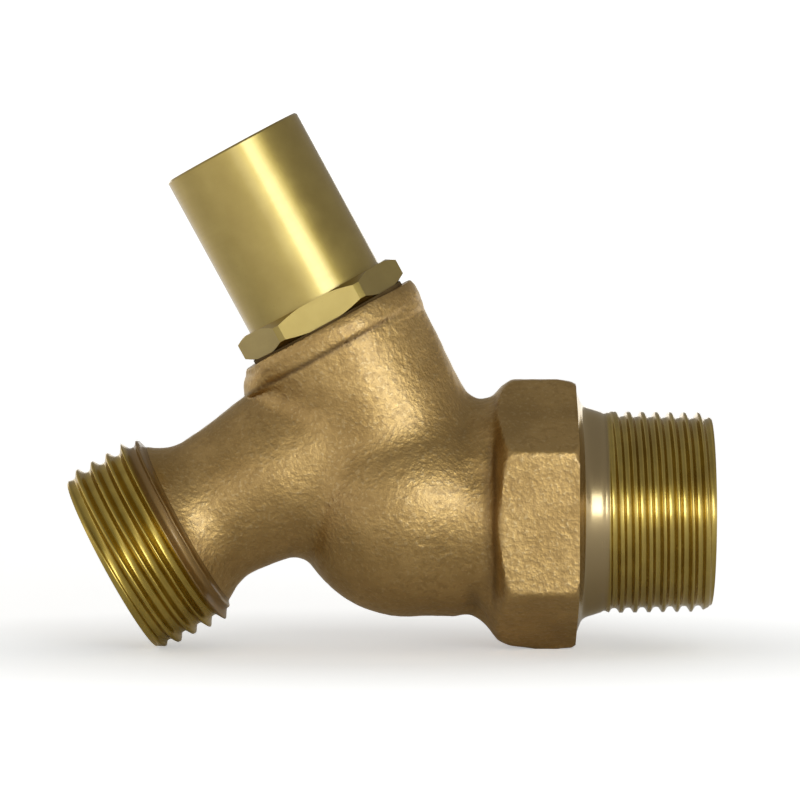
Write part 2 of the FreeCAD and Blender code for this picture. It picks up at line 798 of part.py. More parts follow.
def disc_holder():
    """The swivel disc: a cup for the seat washer below and a socket for the stem's button above."""
    body = new_body("disc_holder")
    sketch = new_sketch(body, "DiscOutline")
    rim_bottom = f"{DISC_BOTTOM} - disc_rim"
    shoulder = f"{DISC_BOTTOM} + 0.5 * disc_floor"
    socket = "button_radius + running_gap"
    ring_bottom = f"{RING_BOTTOM} - running_gap"
    ring_top = f"{RING_BOTTOM} + ring_thickness + running_gap"
    outline(
        sketch,
        [
            (SCREW_BORE, DISC_BOTTOM),
            ("washer_radius + small_gap", DISC_BOTTOM),
            ("washer_radius + small_gap", rim_bottom),
            ("disc_radius", rim_bottom),
            ("disc_radius", shoulder),
            ("hub_radius", SOCKET_FLOOR),
            ("hub_radius", f"{HUB_TOP} - 0.3"),
            ("hub_radius - 0.3", HUB_TOP),
            (socket, HUB_TOP),
            (socket, ring_top),
            ("ring_radius + small_gap", ring_top),
            ("ring_radius + small_gap", ring_bottom),
            (socket, ring_bottom),
            (socket, SOCKET_FLOOR),
            (SCREW_BORE, SOCKET_FLOOR),
        ],
    )
    turned(body, "Revolution", "Disc", sketch)
    female_thread(
        body,
        "DiscThread",
        new_sketch(body, "DiscThreadForm"),
        V_THREAD,
        "screw_pitch",
        "screw_radius",
        SCREW_THREAD_START,
        f"{DISC_BOTTOM} - screw_pitch",
        "thread_play",
        "small_gap",
    )
    return body


def stem_ring():
    """The open spring ring that sits in the socket's groove and holds the stem's button."""
    body = new_body("stem_retaining_ring")
    sketch = new_sketch(body, "RingOutline")
    top = f"{RING_BOTTOM} + ring_thickness"
    outline(
        sketch,
        [
            ("ring_inner_radius", RING_BOTTOM),
            ("ring_radius", RING_BOTTOM),
            ("ring_radius", top),
            ("ring_inner_radius", top),
        ],
    )
    feature = turned(body, "Revolution", "Ring", sketch)
    bind(feature, "Angle", "360 - ring_gap")
    return body


def washer_screw():
    """The slotted brass screw that holds the seat washer in its cup."""
    body = new_body("washer_screw")
    end = f"({SOCKET_FLOOR} - screw_end)"
    head_bottom = f"({WASHER_BOTTOM} - screw_head)"
    sketch = new_sketch(body, "ScrewOutline")
    outline(
        sketch,
        [
            ("0", head_bottom),
            ("0.6 * screw_head_radius", head_bottom),
            ("0.9 * screw_head_radius", f"{head_bottom} + 0.3 * screw_head"),
            ("screw_head_radius", f"{head_bottom} + 0.7 * screw_head"),
            ("screw_head_radius", WASHER_BOTTOM),
            ("screw_radius", WASHER_BOTTOM),
            ("screw_radius", f"{end} - 0.4"),
            ("screw_radius - 0.4", end),
            ("0", end),
        ],
    )
    turned(body, "Revolution", "Screw", sketch)
    thread(
        body,
        "ScrewThread",
        new_sketch(body, "ScrewThreadForm"),
        V_THREAD,
        "screw_pitch",
        "screw_radius",
        SCREW_THREAD_START,
        f"{DISC_BOTTOM} - 1.2 * screw_pitch",
    )
    slot = new_sketch(body, "SlotOutline", "XY_Plane", z=head_bottom)
    reach, half = "screw_head_radius + 1", "screw_slot_width / 2"
    corners = [(reach, half), ("-(" + reach + ")", half)]
    corners += [("-(" + reach + ")", "-" + half), (reach, "-" + half)]
    outline(slot, corners)
    extruded(body, "Pocket", "Slot", slot, "screw_slot_depth", True)
    return body


def check(parts):
    """Stop where any object failed, or where a sub-part is not one valid solid."""
    for thing in doc.Objects:
        if {"Invalid", "Error"} & set(thing.State):
            raise RuntimeError(f"{thing.Name} failed: {thing.State}")
    for part in parts:
        shape = part.Shape
        if shape.isNull() or not shape.isValid() or len(shape.Solids) != 1:
            raise RuntimeError(f"{part.Label} is not one valid solid")


def main():
    make_sheet()
    shank_room = "shank_radius + running_gap"
    parts = [
        valve_body(),
        ring(
            "bonnet_gasket",
            "bonnet_thread_radius + small_gap",
            "gasket_radius",
            "neck_top",
            FLANGE_BOTTOM,
        ),
        bonnet(),
        stem(),
        ring("stem_packing", shank_room, f"{BOX_BORE} - small_gap", BOX_FLOOR, GLAND_BOTTOM),
        ring("packing_gland", shank_room, f"{BOX_BORE} - small_gap", GLAND_BOTTOM, NUT_BOTTOM),
        packing_nut(),
        disc_holder(),
        ring("seat_washer", "washer_hole_radius", "washer_radius", WASHER_BOTTOM, DISC_BOTTOM),
        washer_screw(),
        stem_ring(),
    ]
    doc.recompute()
    check(parts)
    os.makedirs("parts", exist_ok=True)
    for part in parts:
        part.Shape.exportStep(os.path.join("parts", part.Label + ".step"))
        box = part.Shape.BoundBox
        print(
            f"{part.Label}: {part.Shape.Volume:.1f} mm3, X {box.XMin:.2f} to {box.XMax:.2f},"
            f" Y {box.YMin:.2f} to {box.YMax:.2f}, Z {box.ZMin:.2f} to {box.ZMax:.2f}"
        )


main()
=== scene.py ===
# %% [markdown]
# # A lock-shield hose bibb, dressed for the camera
#
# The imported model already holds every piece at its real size. This lesson gives the pieces the
# surfaces that a foundry and a lathe leave behind: a sand-cast body with soft corners and a
# pebbled skin, two cut threads, and a turned brass shield. All lengths are in metres.

# %% Load the frame
import json
import math

import bmesh
import bpy
import numpy as np
from mathutils import Matrix, Vector


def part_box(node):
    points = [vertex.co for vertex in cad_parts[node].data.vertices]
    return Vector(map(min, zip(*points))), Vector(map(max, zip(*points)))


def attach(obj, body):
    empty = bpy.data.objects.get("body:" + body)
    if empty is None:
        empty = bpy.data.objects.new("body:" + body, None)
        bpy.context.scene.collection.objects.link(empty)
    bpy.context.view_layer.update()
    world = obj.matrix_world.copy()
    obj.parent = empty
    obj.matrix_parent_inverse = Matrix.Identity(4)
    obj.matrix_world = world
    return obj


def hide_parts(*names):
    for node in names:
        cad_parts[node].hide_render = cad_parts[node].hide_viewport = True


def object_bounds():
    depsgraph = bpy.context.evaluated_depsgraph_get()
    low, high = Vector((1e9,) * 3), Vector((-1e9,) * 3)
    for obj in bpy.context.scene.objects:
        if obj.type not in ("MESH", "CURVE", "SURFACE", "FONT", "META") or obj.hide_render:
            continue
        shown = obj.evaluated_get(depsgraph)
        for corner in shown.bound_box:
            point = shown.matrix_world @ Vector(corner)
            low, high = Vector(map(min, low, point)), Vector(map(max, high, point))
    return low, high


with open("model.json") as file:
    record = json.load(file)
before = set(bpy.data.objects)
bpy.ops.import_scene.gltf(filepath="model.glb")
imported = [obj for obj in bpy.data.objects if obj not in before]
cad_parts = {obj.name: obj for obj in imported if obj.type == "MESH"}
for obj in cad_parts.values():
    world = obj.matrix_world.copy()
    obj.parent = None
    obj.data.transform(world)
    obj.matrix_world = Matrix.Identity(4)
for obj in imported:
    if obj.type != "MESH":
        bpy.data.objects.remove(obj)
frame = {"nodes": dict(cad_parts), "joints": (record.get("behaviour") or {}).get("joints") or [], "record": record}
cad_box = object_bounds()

MM = 0.001
mounts = {mount["name"]: mount for mount in frame["record"]["mounts"]}
print("pieces:", ", ".join(sorted(frame["nodes"])))

# %% [markdown]
# ## Where things are
#
# The valve has three axes. Water comes in along the inlet axis, the stem leans back from it, and
# the spout stands square to the stem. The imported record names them, so nothing is measured twice.

# %% The three axes
key_turn = next(joint for joint in frame["joints"] if joint["type"] == "hinge")
crossing = Vector(key_turn["pos_m"])
stem_axis = Vector(key_turn["axis"]).normalized()
inlet_axis = Vector(mounts["inlet_thread"]["axis"]).normalized()
spout_axis = Vector(mounts["hose_thread"]["axis"]).normalized()
spout_mouth = Vector(mounts["outlet_bore"]["pos_m"])
inlet_mouth = Vector((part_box("valve_body")[1].x, 0, 0))
spout_root = spout_mouth + (crossing - spout_mouth).dot(spout_axis) * spout_axis
spout_reach = (spout_mouth - spout_root).length
to_viewer = Vector((0, -1, 0))


def frame_along(axis, origin):
    """A turned frame: its Z runs along an axis in the plane of symmetry, its X faces the viewer."""
    columns = (to_viewer, axis.cross(to_viewer), axis)
    return Matrix.Translation(origin) @ Matrix(columns).transposed().to_4x4()


print("spout reaches", round(spout_reach / MM, 2), "mm from the stem axis")


# %% [markdown]
# ## Metal from the CAD
#
# A CAD node stays as it is. Where a surface has to change, the work is done on a copy, whose loose
# triangles are first joined at their corners. Joined triangles can share a normal, so a round
# wall shades as round, and only real edges stay sharp.

# %% Copies of CAD pieces
def add_piece(mesh, name):
    mesh.name = name
    piece = bpy.data.objects.new(name, mesh)
    bpy.context.scene.collection.objects.link(piece)
    return piece


def merge_corners(mesh, distance):
    shape = bmesh.new()
    shape.from_mesh(mesh)
    bmesh.ops.remove_doubles(shape, verts=shape.verts, dist=distance)
    bmesh.ops.dissolve_degenerate(shape, edges=shape.edges, dist=distance)
    shape.to_mesh(mesh)
    shape.free()


def merged_copy(node, name):
    """A closed copy of a CAD node's mesh, as a piece of its own."""
    mesh = frame["nodes"][node].data.copy()
    mesh.materials.clear()
    if "custom_normal" in mesh.attributes:
        mesh.attributes.remove(mesh.attributes["custom_normal"])
    merge_corners(mesh, 1e-6)
    return add_piece(mesh, name)


# %% Baking and shading
def bake(piece):
    """Keep what the modifiers make of a piece, as its own plain mesh."""
    bpy.context.view_layer.update()
    ready = piece.evaluated_get(bpy.context.evaluated_depsgraph_get())
    mesh = bpy.data.meshes.new_from_object(ready)
    piece.modifiers.clear()
    old, piece.data = piece.data, mesh
    bpy.data.meshes.remove(old)
    mesh.name = piece.name


def shade_round(piece, sharp_from=None):
    """Shade a piece as round, apart from edges sharper than an angle in degrees."""
    piece.data.polygons.foreach_set("use_smooth", [True] * len(piece.data.polygons))
    if sharp_from:
        piece.data.set_sharp_from_angle(angle=math.radians(sharp_from))


# %% Measuring a mesh
def places_of(mesh):
    places = np.empty(len(mesh.vertices) * 3)
    mesh.vertices.foreach_get("co", places)
    return places.reshape(-1, 3)


def along(axis, origin, places):
    """How far along an axis each place lies."""
    return (places - np.array(origin)) @ np.array(axis)


def foot_on(axis, origin, places):
    """The point of an axis that lies nearest to each place."""
    return np.array(origin) + np.outer(along(axis, origin, places), np.array(axis))


def away_from(axis, origin, places):
    """How far from an axis each place lies."""
    return np.linalg.norm(places - foot_on(axis, origin, places), axis=1)


def triangles_in(mesh):
    return sum(len(face.vertices) - 2 for face in mesh.polygons)


# %% [markdown]
# ## Finishes
#
# Every finish reads Object coordinates, which are the real places in metres, so a grain keeps its
# size on every piece. A small kit writes the nodes: one function adds a node, one joins sockets.

# %% A small kit for nodes
class Nodes:
    """A node tree, with short ways to add nodes and to join their sockets."""

    def __init__(self, tree):
        self.tree = tree

    def put(self, socket, value):
        if isinstance(value, bpy.types.NodeSocket):
            self.tree.links.new(value, socket)
        else:
            socket.default_value = value

    def add(self, kind, *values, operation=None, **inputs):
        """Add a node: plain values go to its first sockets, and named ones to theirs."""
        node = self.tree.nodes.new(kind)
        if operation:
            node.operation = operation
        for socket, value in zip(node.inputs, values):
            self.put(socket, value)
        for key, value in inputs.items():
            self.put(node.inputs[key.replace("_", " ")], value)
        return node

    def maths(self, operation, *values):
        return self.add("ShaderNodeMath", *values, operation=operation).outputs[0]

    def vector(self, operation, *values, **inputs):
        return self.add("ShaderNodeVectorMath", *values, operation=operation, **inputs).outputs

    def ramp(self, value, low, high, dark=0.0, light=1.0):
        """The value stretched so that low gives dark and high gives light."""
        node = self.add("ShaderNodeMapRange", Value=value)
        names = ("From Min", "From Max", "To Min", "To Max")
        for key, number in zip(names, (low, high, dark, light)):
            node.inputs[key].default_value = number
        return node.outputs["Result"]


# %% [markdown]
# A material adds the patterns of the workshop to that kit. Copper alloys stay golden where light
# only grazes them, so every bare metal gets a golden tint at its edge.

# %% A material and its patterns
EDGE_TINT = (0.85, 0.7, 0.4)


class Finish(Nodes):
    """One material, with the patterns that foundry and lathe leave."""

    def __init__(self, name, metal, rough, coat=0.0, coat_rough=0.3):
        self.material = bpy.data.materials.new(name)
        self.material.use_nodes = True
        super().__init__(self.material.node_tree)
        self.shader = self.tree.nodes["Principled BSDF"]
        self.shader.inputs["Metallic"].default_value = metal
        self.shader.inputs["Roughness"].default_value = rough
        self.shader.inputs["Coat Weight"].default_value = coat
        self.shader.inputs["Coat Roughness"].default_value = coat_rough
        if metal == 1.0:
            self.shader.inputs["Specular Tint"].default_value = (*EDGE_TINT, 1)
        self.place = self.add("ShaderNodeTexCoord").outputs["Object"]

    def noise(self, size, detail=2.0, place=None):
        """Cloudy noise whose lumps are about this size."""
        vector = place or self.place
        return self.add("ShaderNodeTexNoise", Vector=vector, Scale=1 / size, Detail=detail).outputs[0]

    def blend(self, share, one, other):
        """One colour turning into another by a share."""
        node = self.tree.nodes.new("ShaderNodeMix")
        node.data_type = "RGBA"
        self.put(node.inputs["Factor"], share)
        for key, value in (("A", one), ("B", other)):
            socket = next(s for s in node.inputs if s.name == key and s.type == "RGBA")
            self.put(socket, value if isinstance(value, bpy.types.NodeSocket) else (*value, 1))
        return next(s for s in node.outputs if s.type == "RGBA")

    def ringed(self, axis, origin, lengthwise, across):
        """Places counted from an axis, squeezed along it and stretched across it, for rings."""
        node = self.add("ShaderNodeMapping", Vector=self.place)
        node.vector_type = "TEXTURE"
        node.inputs["Location"].default_value = origin
        node.inputs["Rotation"].default_value = frame_along(axis, origin).to_euler()
        node.inputs["Scale"].default_value = (across, across, lengthwise)
        return node.outputs["Vector"]

    def bump(self, height, depth, under=None):
        """Raise the surface by a height from 0 to 1, times a depth in metres."""
        node = self.add("ShaderNodeBump", Height=height, Distance=depth, Strength=1.0)
        if under:
            self.put(node.inputs["Normal"], under)
        return node.outputs["Normal"]

    def finish(self, colour, rough, normal):
        for key, value in (("Base Color", colour), ("Roughness", rough), ("Normal", normal)):
            self.put(self.shader.inputs[key], value)
        return self.material


# %% [markdown]
# The body is red-brown bronze as it leaves the sand: shot-blasted and a little tarnished. It is
# darker in its hollows, partly from tarnish and partly from painted shade. Four sizes of noise do
# the work. Clouds of several millimetres tint it, lumps of a millimetre darken and roughen it,
# pebbles catch the light, and a fine grain breaks up every highlight.

# %% Cast bronze
BRONZE_LIGHT = (0.475, 0.30, 0.10)
BRONZE_DEEP = (0.35, 0.21, 0.06)
# The darkest bronze, laid into hollows: partly tarnish, partly painted shade.
BRONZE_TARNISH_AND_SHADE = (0.13, 0.072, 0.024)
BRONZE_BRIGHT = (0.62, 0.46, 0.23)


def cast_bronze():
    made = Finish("cast_bronze", metal=1.0, rough=0.5, coat=0.6, coat_rough=0.35)
    clouds = made.noise(7 * MM, detail=3)
    lumps = made.noise(0.9 * MM, detail=2)
    pebbles = made.noise(0.45 * MM, detail=1)
    grain = made.noise(0.2 * MM, detail=2)
    hollow = made.add("ShaderNodeAttribute")
    hollow.attribute_name = "hollow"
    tint = made.blend(made.ramp(clouds, 0.35, 0.65), BRONZE_DEEP, BRONZE_LIGHT)
    tint = made.blend(made.ramp(lumps, 0.48, 0.34, 0, 0.6), tint, BRONZE_DEEP)
    tint = made.blend(made.ramp(pebbles, 0.58, 0.75, 0, 0.35), tint, BRONZE_BRIGHT)
    # Tarnish and painted shade: darker where the mesh marks hollows and shade lines.
    tint = made.blend(made.ramp(hollow.outputs["Fac"], 0.1, 0.9, 0, 0.7), tint, BRONZE_TARNISH_AND_SHADE)
    rough = made.ramp(lumps, 0.3, 0.7, 0.53, 0.42)
    relief = made.bump(lumps, 0.10 * MM)
    relief = made.bump(pebbles, 0.05 * MM, relief)
    relief = made.bump(grain, 0.014 * MM, relief)
    return made.finish(tint, rough, relief)


# %% [markdown]
# Turned brass carries the tool's fine rings. Noise squeezed along the axis gives rings that are
# not all alike, since each is only as deep as the tool happened to bite. Both threaded ends change
# colour at their inner end: the neck behind the pipe thread is greyer, and the first crest of the
# hose thread still has the brown skin of the casting.

# %% Turned brass
def turned_brass(name, light, deep, axis, origin, rough, ring_depth, coat, behind=None):
    """Brass with rings round an axis. Behind a place on it, another tint and roughness can begin."""
    made = Finish(name, metal=1.0, rough=rough, coat=coat, coat_rough=0.15)
    rings = made.noise(1.0 * MM, detail=2, place=made.ringed(axis, origin, 0.3, 20))
    clouds = made.noise(4 * MM, detail=3)
    specks = made.noise(0.45 * MM, detail=2)
    tint = made.blend(made.ramp(clouds, 0.3, 0.7), deep, light)
    tint = made.blend(made.ramp(specks, 0.36, 0.26, 0, 0.5), tint, deep)
    sheen = made.ramp(rings, 0.3, 0.7, rough - 0.03, rough + 0.03)
    sheen = made.maths("ADD", sheen, made.ramp(clouds, 0.4, 0.8, 0, 0.04))
    if behind:
        start, other_tint, rougher = behind
        start += origin.dot(axis)
        inwards = made.vector("DOT_PRODUCT", made.place, axis)["Value"]
        share = made.ramp(inwards, start + 0.1 * MM, start - 0.2 * MM)
        tint = made.blend(share, tint, other_tint)
        sheen = made.maths("ADD", sheen, made.maths("MULTIPLY", share, rougher))
    relief = made.bump(rings, ring_depth)
    relief = made.bump(specks, 0.003 * MM, relief)
    return made.finish(tint, sheen, relief)


BRASS_LIGHT = (0.42, 0.305, 0.074)
BRASS_DEEP = (0.36, 0.255, 0.055)
THREAD_LIGHT = (0.47, 0.335, 0.062)
THREAD_DEEP = (0.34, 0.23, 0.035)
NECK_GREY = (0.37, 0.265, 0.12)
FIRST_CREST = (0.27, 0.16, 0.05)
NECK_START = -5.5 * MM
CREST_START = -8.9 * MM


# %% Fibre, graphite, rubber and steel
def plain_stuff(name, light, deep, metal, rough, grain_size, grain_depth):
    """A finish for the small pieces: two tints, a grain, and a roughness that follows it."""
    made = Finish(name, metal=metal, rough=rough)
    made.shader.inputs["Specular IOR Level"].default_value = 0.2
    grain = made.noise(grain_size, detail=3)
    clouds = made.noise(3 * MM, detail=2)
    tint = made.blend(made.ramp(clouds, 0.3, 0.7), deep, light)
    tint = made.blend(made.ramp(grain, 0.5, 0.3, 0, 0.5), tint, deep)
    sheen = made.ramp(grain, 0.3, 0.7, rough - 0.06, rough + 0.06)
    return made.finish(tint, sheen, made.bump(grain, grain_depth))


# %% All the finishes
finishes = {
    "cast_bronze": cast_bronze(),
    "inlet_brass": turned_brass(
        "inlet_brass", THREAD_LIGHT, THREAD_DEEP, inlet_axis, Vector(), 0.25, 0.001 * MM, 0.9,
        behind=(NECK_START, NECK_GREY, -0.03),
    ),
    "spout_brass": turned_brass(
        "spout_brass", THREAD_LIGHT, THREAD_DEEP, spout_axis, spout_mouth, 0.27, 0.001 * MM, 0.5,
        behind=(CREST_START, FIRST_CREST, 0.28),
    ),
    "shield_brass": turned_brass(
        "shield_brass", BRASS_LIGHT, BRASS_DEEP, stem_axis, crossing, 0.33, 0.0008 * MM, 1.0,
    ),
}
small_stuff = (
    ("fibre", (0.16, 0.10, 0.035), (0.10, 0.06, 0.02), 0, 0.9, 0.3, 0.02),
    ("graphite", (0.045, 0.045, 0.05), (0.02, 0.02, 0.022), 0.3, 0.45, 0.2, 0.01),
    ("rubber", (0.03, 0.03, 0.03), (0.018, 0.018, 0.018), 0, 0.6, 0.25, 0.006),
    ("spring_steel", (0.55, 0.55, 0.57), (0.38, 0.38, 0.4), 1, 0.3, 0.4, 0.003),
)
for name, light, deep, metal, rough, grain_size, grain_depth in small_stuff:
    finishes[name] = plain_stuff(name, light, deep, metal, rough, grain_size * MM, grain_depth * MM)
print("finishes:", ", ".join(finishes))

# %% [markdown]
# ## The casting
#
# Molten bronze runs into a mould of packed sand, so a casting has no sharp inner corners: the
# pattern maker fills them. Remeshing the body in small cubes gives an even skin whose corners can
# be worked. Both threaded ends are cut off it, because they are made on a lathe afterwards.

# %% An even skin
SKIN_STEP = 0.4 * MM
casting = merged_copy("valve_body", "valve_body_casting")
remesh = casting.modifiers.new("skin", "REMESH")
remesh.mode = "VOXEL"
remesh.voxel_size = SKIN_STEP
bake(casting)
model = merged_copy("valve_body", "valve_body_model")
wrap = casting.modifiers.new("wrap", "SHRINKWRAP")
wrap.target = model
wrap.wrap_method = "NEAREST_SURFACEPOINT"
bake(casting)
bpy.data.objects.remove(model)
print("casting:", len(casting.data.vertices), "corners after remeshing")

# %% [markdown]
# The wrench boss ends in a turned face, and the hose thread starts where the spout has flared out.
# A cut through the skin at each of these planes leaves a ring of open edges, which a cap closes.

# %% Cut off the threaded ends
BOSS_FACE = -9.5 * MM
LAND_LENGTH = mounts["hose_thread"]["dims"]["length_mm"] * MM
LAND_BACK = Vector(mounts["hose_thread"]["pos_m"]) - 0.5 * LAND_LENGTH * spout_axis
FLARE_END = LAND_BACK - 0.5 * MM * spout_axis


def cut_off(mesh, point, outwards):
    """Remove what lies outwards of a plane, and close the cut with a flat cap."""
    shape = bmesh.new()
    shape.from_mesh(mesh)
    everything = shape.verts[:] + shape.edges[:] + shape.faces[:]
    cut = bmesh.ops.bisect_plane(
        shape, geom=everything, plane_co=point, plane_no=outwards, clear_outer=True
    )
    rims = [edge for edge in cut["geom_cut"] if isinstance(edge, bmesh.types.BMEdge)]
    bmesh.ops.triangle_fill(shape, use_beauty=True, edges=rims, normal=outwards)
    open_edges = sum(1 for edge in shape.edges if not edge.is_manifold)
    shape.to_mesh(mesh)
    shape.free()
    return open_edges


open_at_boss = cut_off(casting.data, Vector((BOSS_FACE, 0, 0)), inlet_axis)
open_at_flare = cut_off(casting.data, FLARE_END, spout_axis)
print("open edges:", open_at_boss, open_at_flare, "triangles:", triangles_in(casting.data))


# %% [markdown]
# The skin's corners are moved all at once, as one array of places. Relaxing moves each corner half
# the way to the middle of its neighbours. Pressing moves it in or out until it has the radius that
# a rule wants, about one of the axes.

# %% A skin that can be worked
class Skin:
    """A mesh's corners with their neighbours."""

    def __init__(self, mesh):
        self.places = places_of(mesh)
        edges = np.empty(len(mesh.edges) * 2, dtype=np.int64)
        mesh.edges.foreach_get("vertices", edges)
        one, other = edges.reshape(-1, 2).T
        self.start = np.concatenate([one, other])
        self.end = np.concatenate([other, one])
        self.count = np.bincount(self.start, minlength=len(self.places))[:, None]

    def spread(self, values):
        """The mean of each corner's neighbours."""
        total = len(values)
        columns = [
            np.bincount(self.start, weights=column[self.end], minlength=total) for column in values.T
        ]
        return np.stack(columns, axis=1) / self.count

    def pull(self):
        return self.spread(self.places) - self.places

    def relax(self, weight, rounds):
        for _ in range(rounds):
            self.places += 0.5 * weight * self.pull()

    def outward_pull(self, mesh):
        """How far each corner is pulled out of the metal, which is positive in a crease."""
        normals = np.empty(len(mesh.vertices) * 3)
        mesh.vertices.foreach_get("normal", normals)
        return np.sum(self.pull() * normals.reshape(-1, 3), axis=1)

    def press(self, axis, origin, wanted, share):
        """Move each corner towards its wanted radius about an axis, by a share from 0 to 1."""
        radius = np.maximum(away_from(axis, origin, self.places), MM)
        outwards = self.places - foot_on(axis, origin, self.places)
        self.places += outwards * (share * (wanted / radius - 1))[:, None]

    def save(self, mesh):
        mesh.vertices.foreach_set("co", self.places.ravel())
        mesh.update()


def ease(value, low, high):
    """A soft step from 0 at low to 1 at high."""
    share = np.clip((value - low) / (high - low), 0, 1)
    return share * share * (3 - 2 * share)


# %% What the lathe cut
RIM_HEIGHT = 27.4 * MM
TURNED_SPOUT = 11.7 * MM
BORES = (
    (inlet_axis, Vector(), 9.5 * MM, -20 * MM),
    (stem_axis, crossing, 9.9 * MM, -8 * MM),
    (spout_axis, spout_root, 7.2 * MM, 0),
    (spout_axis, spout_root, 9.0 * MM, spout_reach - 13 * MM),
)
skin = Skin(casting.data)
places = skin.places
machined = (
    (places[:, 0] > BOSS_FACE - 0.2 * MM)
    | (along(stem_axis, crossing, places) > RIM_HEIGHT)
    | (along(spout_axis, spout_root, places) > spout_reach - TURNED_SPOUT)
)
for axis, origin, bore, start in BORES:
    machined |= (away_from(axis, origin, places) < bore) & (along(axis, origin, places) > start)
cast = (~machined).astype(float)[:, None]
print("corners bored or turned:", int(machined.sum()), "and as cast:", int(cast.sum()))

# %% [markdown]
# The pattern's fillets are made by relaxing the skin only where it folds inwards. A crease pulls
# its corners out of the metal, the pull is spread over the fillet's width, and then the corners
# there are relaxed again and again, until a round web is left.

# %% Fill the creases
FILLET_WIDTH = 2.4 * MM
CREASE_PULL = 0.02 * MM
FILLET_ROUNDS = 220
SOFTENING_ROUNDS = 12
COLLAR_START = 24.7 * MM
below_collar = along(stem_axis, crossing, places) <= COLLAR_START
seeds = (skin.outward_pull(casting.data) > CREASE_PULL) & ~machined & below_collar
reach = seeds.astype(float)[:, None]
for _ in range(int(FILLET_WIDTH / SKIN_STEP)):
    reach = np.maximum(reach, skin.spread(reach))
for _ in range(4):
    reach = skin.spread(reach)
weight = np.clip(reach * 1.5, 0, 1) * cast
skin.relax(weight, FILLET_ROUNDS)
skin.relax(cast, SOFTENING_ROUNDS)
skin.save(casting.data)
print("creases:", int(seeds.sum()), "corners, and", int((weight > 0.1).sum()), "relaxed")

# %% [markdown]
# Two places keep crisper corners, because the pattern maker cut them to a gauge: the hexagon of the
# wrench boss, and the collar at the top of the neck. The boss comes first. Its radius is that of a
# hexagon with rounded corners, and the corners have a radius of their own at each place along it,
# in millimetres: nearly full at the four sides, rubbed down on the parting line above and below,
# and falling away at the back. Flat and corners are joined by the smaller of the two. Beside the
# parting line the barrel behind the boss is pressed as well, so that it runs straight there.

# %% The radius of the wrench boss
BOSS_FLAT = 15.875 * MM
BOSS_DROP = 0.28 * MM
BOSS_PLACES = (
    -22.5, -21.5, -21.0, -20.5, -20.0, -19.5, -19.0, -18.5,
    -18.0, -17.5, -16.5, -14.5, -12.0, -11.0, -10.0, -9.5,
)
TOP_CORNER = (
    14.9, 15.0, 15.0, 15.2, 15.45, 16.1, 16.65, 17.0,
    17.35, 17.5, 17.55, 17.55, 17.55, 17.4, 17.2, 16.95,
)
LOW_CORNER = (
    13.1, 13.8, 14.45, 15.05, 15.8, 16.3, 16.6, 16.8,
    17.0, 17.1, 17.2, 17.55, 17.55, 17.4, 17.3, 17.0,
)
SIDE_CORNER = (
    13.4, 13.4, 13.6, 14.1, 15.0, 16.2, 17.3, 18.0,
    18.2, 18.2, 18.2, 18.2, 18.2, 18.2, 18.1, 17.5,
)


def blend_tables(values, heights, *shared_tables):
    """Read several tables of millimetres at the same heights, and mix them by their shares."""
    return sum(share * np.interp(values / MM, heights, table) for share, table in shared_tables) * MM


def boss_radius(x, turn):
    """Radius of the boss at a place along the inlet axis and an angle from the top, in degrees."""
    flat = BOSS_FLAT / np.cos(np.radians(turn % 60 - 30))
    upright = np.cos(np.radians(turn))
    top, low = ease(upright, 0.55, 0.85), ease(-upright, 0.55, 0.85)
    corner = blend_tables(
        x, BOSS_PLACES, (top, TOP_CORNER), (low, LOW_CORNER), (1 - top - low, SIDE_CORNER)
    )
    return np.minimum(flat, corner)


# %% Press the boss to its hexagon
boss_middle = Vector((0, 0, -BOSS_DROP))
boss_height = places[:, 2] + BOSS_DROP
radius = away_from(inlet_axis, boss_middle, places)
upright = boss_height / np.maximum(radius, MM)
outer = radius > 11.5 * MM
turn = np.degrees(np.arctan2(places[:, 1], boss_height))
beside = ease(np.abs(turn), 50, 66) * ease(np.abs(turn), 165, 150)
on_boss = ease(places[:, 0], -21.9 * MM, -20.7 * MM)
on_barrel = beside * ease(places[:, 0], -24.8 * MM, -23.2 * MM)
share = np.maximum(on_boss, on_barrel) * (radius > 12.4 * MM)
share *= places[:, 0] < BOSS_FACE + 0.01 * MM
skin.press(inlet_axis, boss_middle, boss_radius(places[:, 0], turn), share)
print("corners pressed to the boss and its barrel:", int((share > 0.5).sum()))

# %% [markdown]
# Behind the boss the sand stood in a valley under the neck and in a waist below. Both are lifted a
# little where the fillets came out too deep, and the joint is relaxed once more.

# %% The valley and the waist
VALLEY_PLACES = (-24.2, -23.75, -23.5, -23.0, -22.0, -21.5, -21.0, -20.7)
VALLEY_LIFT = (0.0, 0.1, 0.25, 0.55, 0.5, 0.3, 0.1, 0.0)
WAIST_PLACES = (-25.2, -24.4, -23.5, -22.6, -22.0, -21.4, -20.9)
WAIST_LIFT = (0.0, 0.2, 0.5, 0.5, 0.35, 0.1, 0.0)
JOINT_ROUNDS = 14
in_valley, in_waist = ease(upright, 0.5, 0.9), ease(-upright, 0.2, 0.8)
lift = blend_tables(places[:, 0], VALLEY_PLACES, (in_valley, VALLEY_LIFT))
lift += blend_tables(places[:, 0], WAIST_PLACES, (in_waist, WAIST_LIFT))
places[:, 2] += lift * outer
joint = ease(places[:, 0], -25 * MM, -24 * MM) * ease(places[:, 0], -19.6 * MM, -20.4 * MM) * outer
skin.relax((joint * (1 - 0.7 * beside))[:, None], JOINT_ROUNDS)
print("valley and waist lifted by up to", round(float(lift.max() / MM), 2), "mm")

# %% [markdown]
# The collar is a plain band in front and towards the boss. Towards the spout it is rounded over,
# and its lower edge melts into the spout's back. Its rim stands a little proud of the face that
# was turned for the gasket.

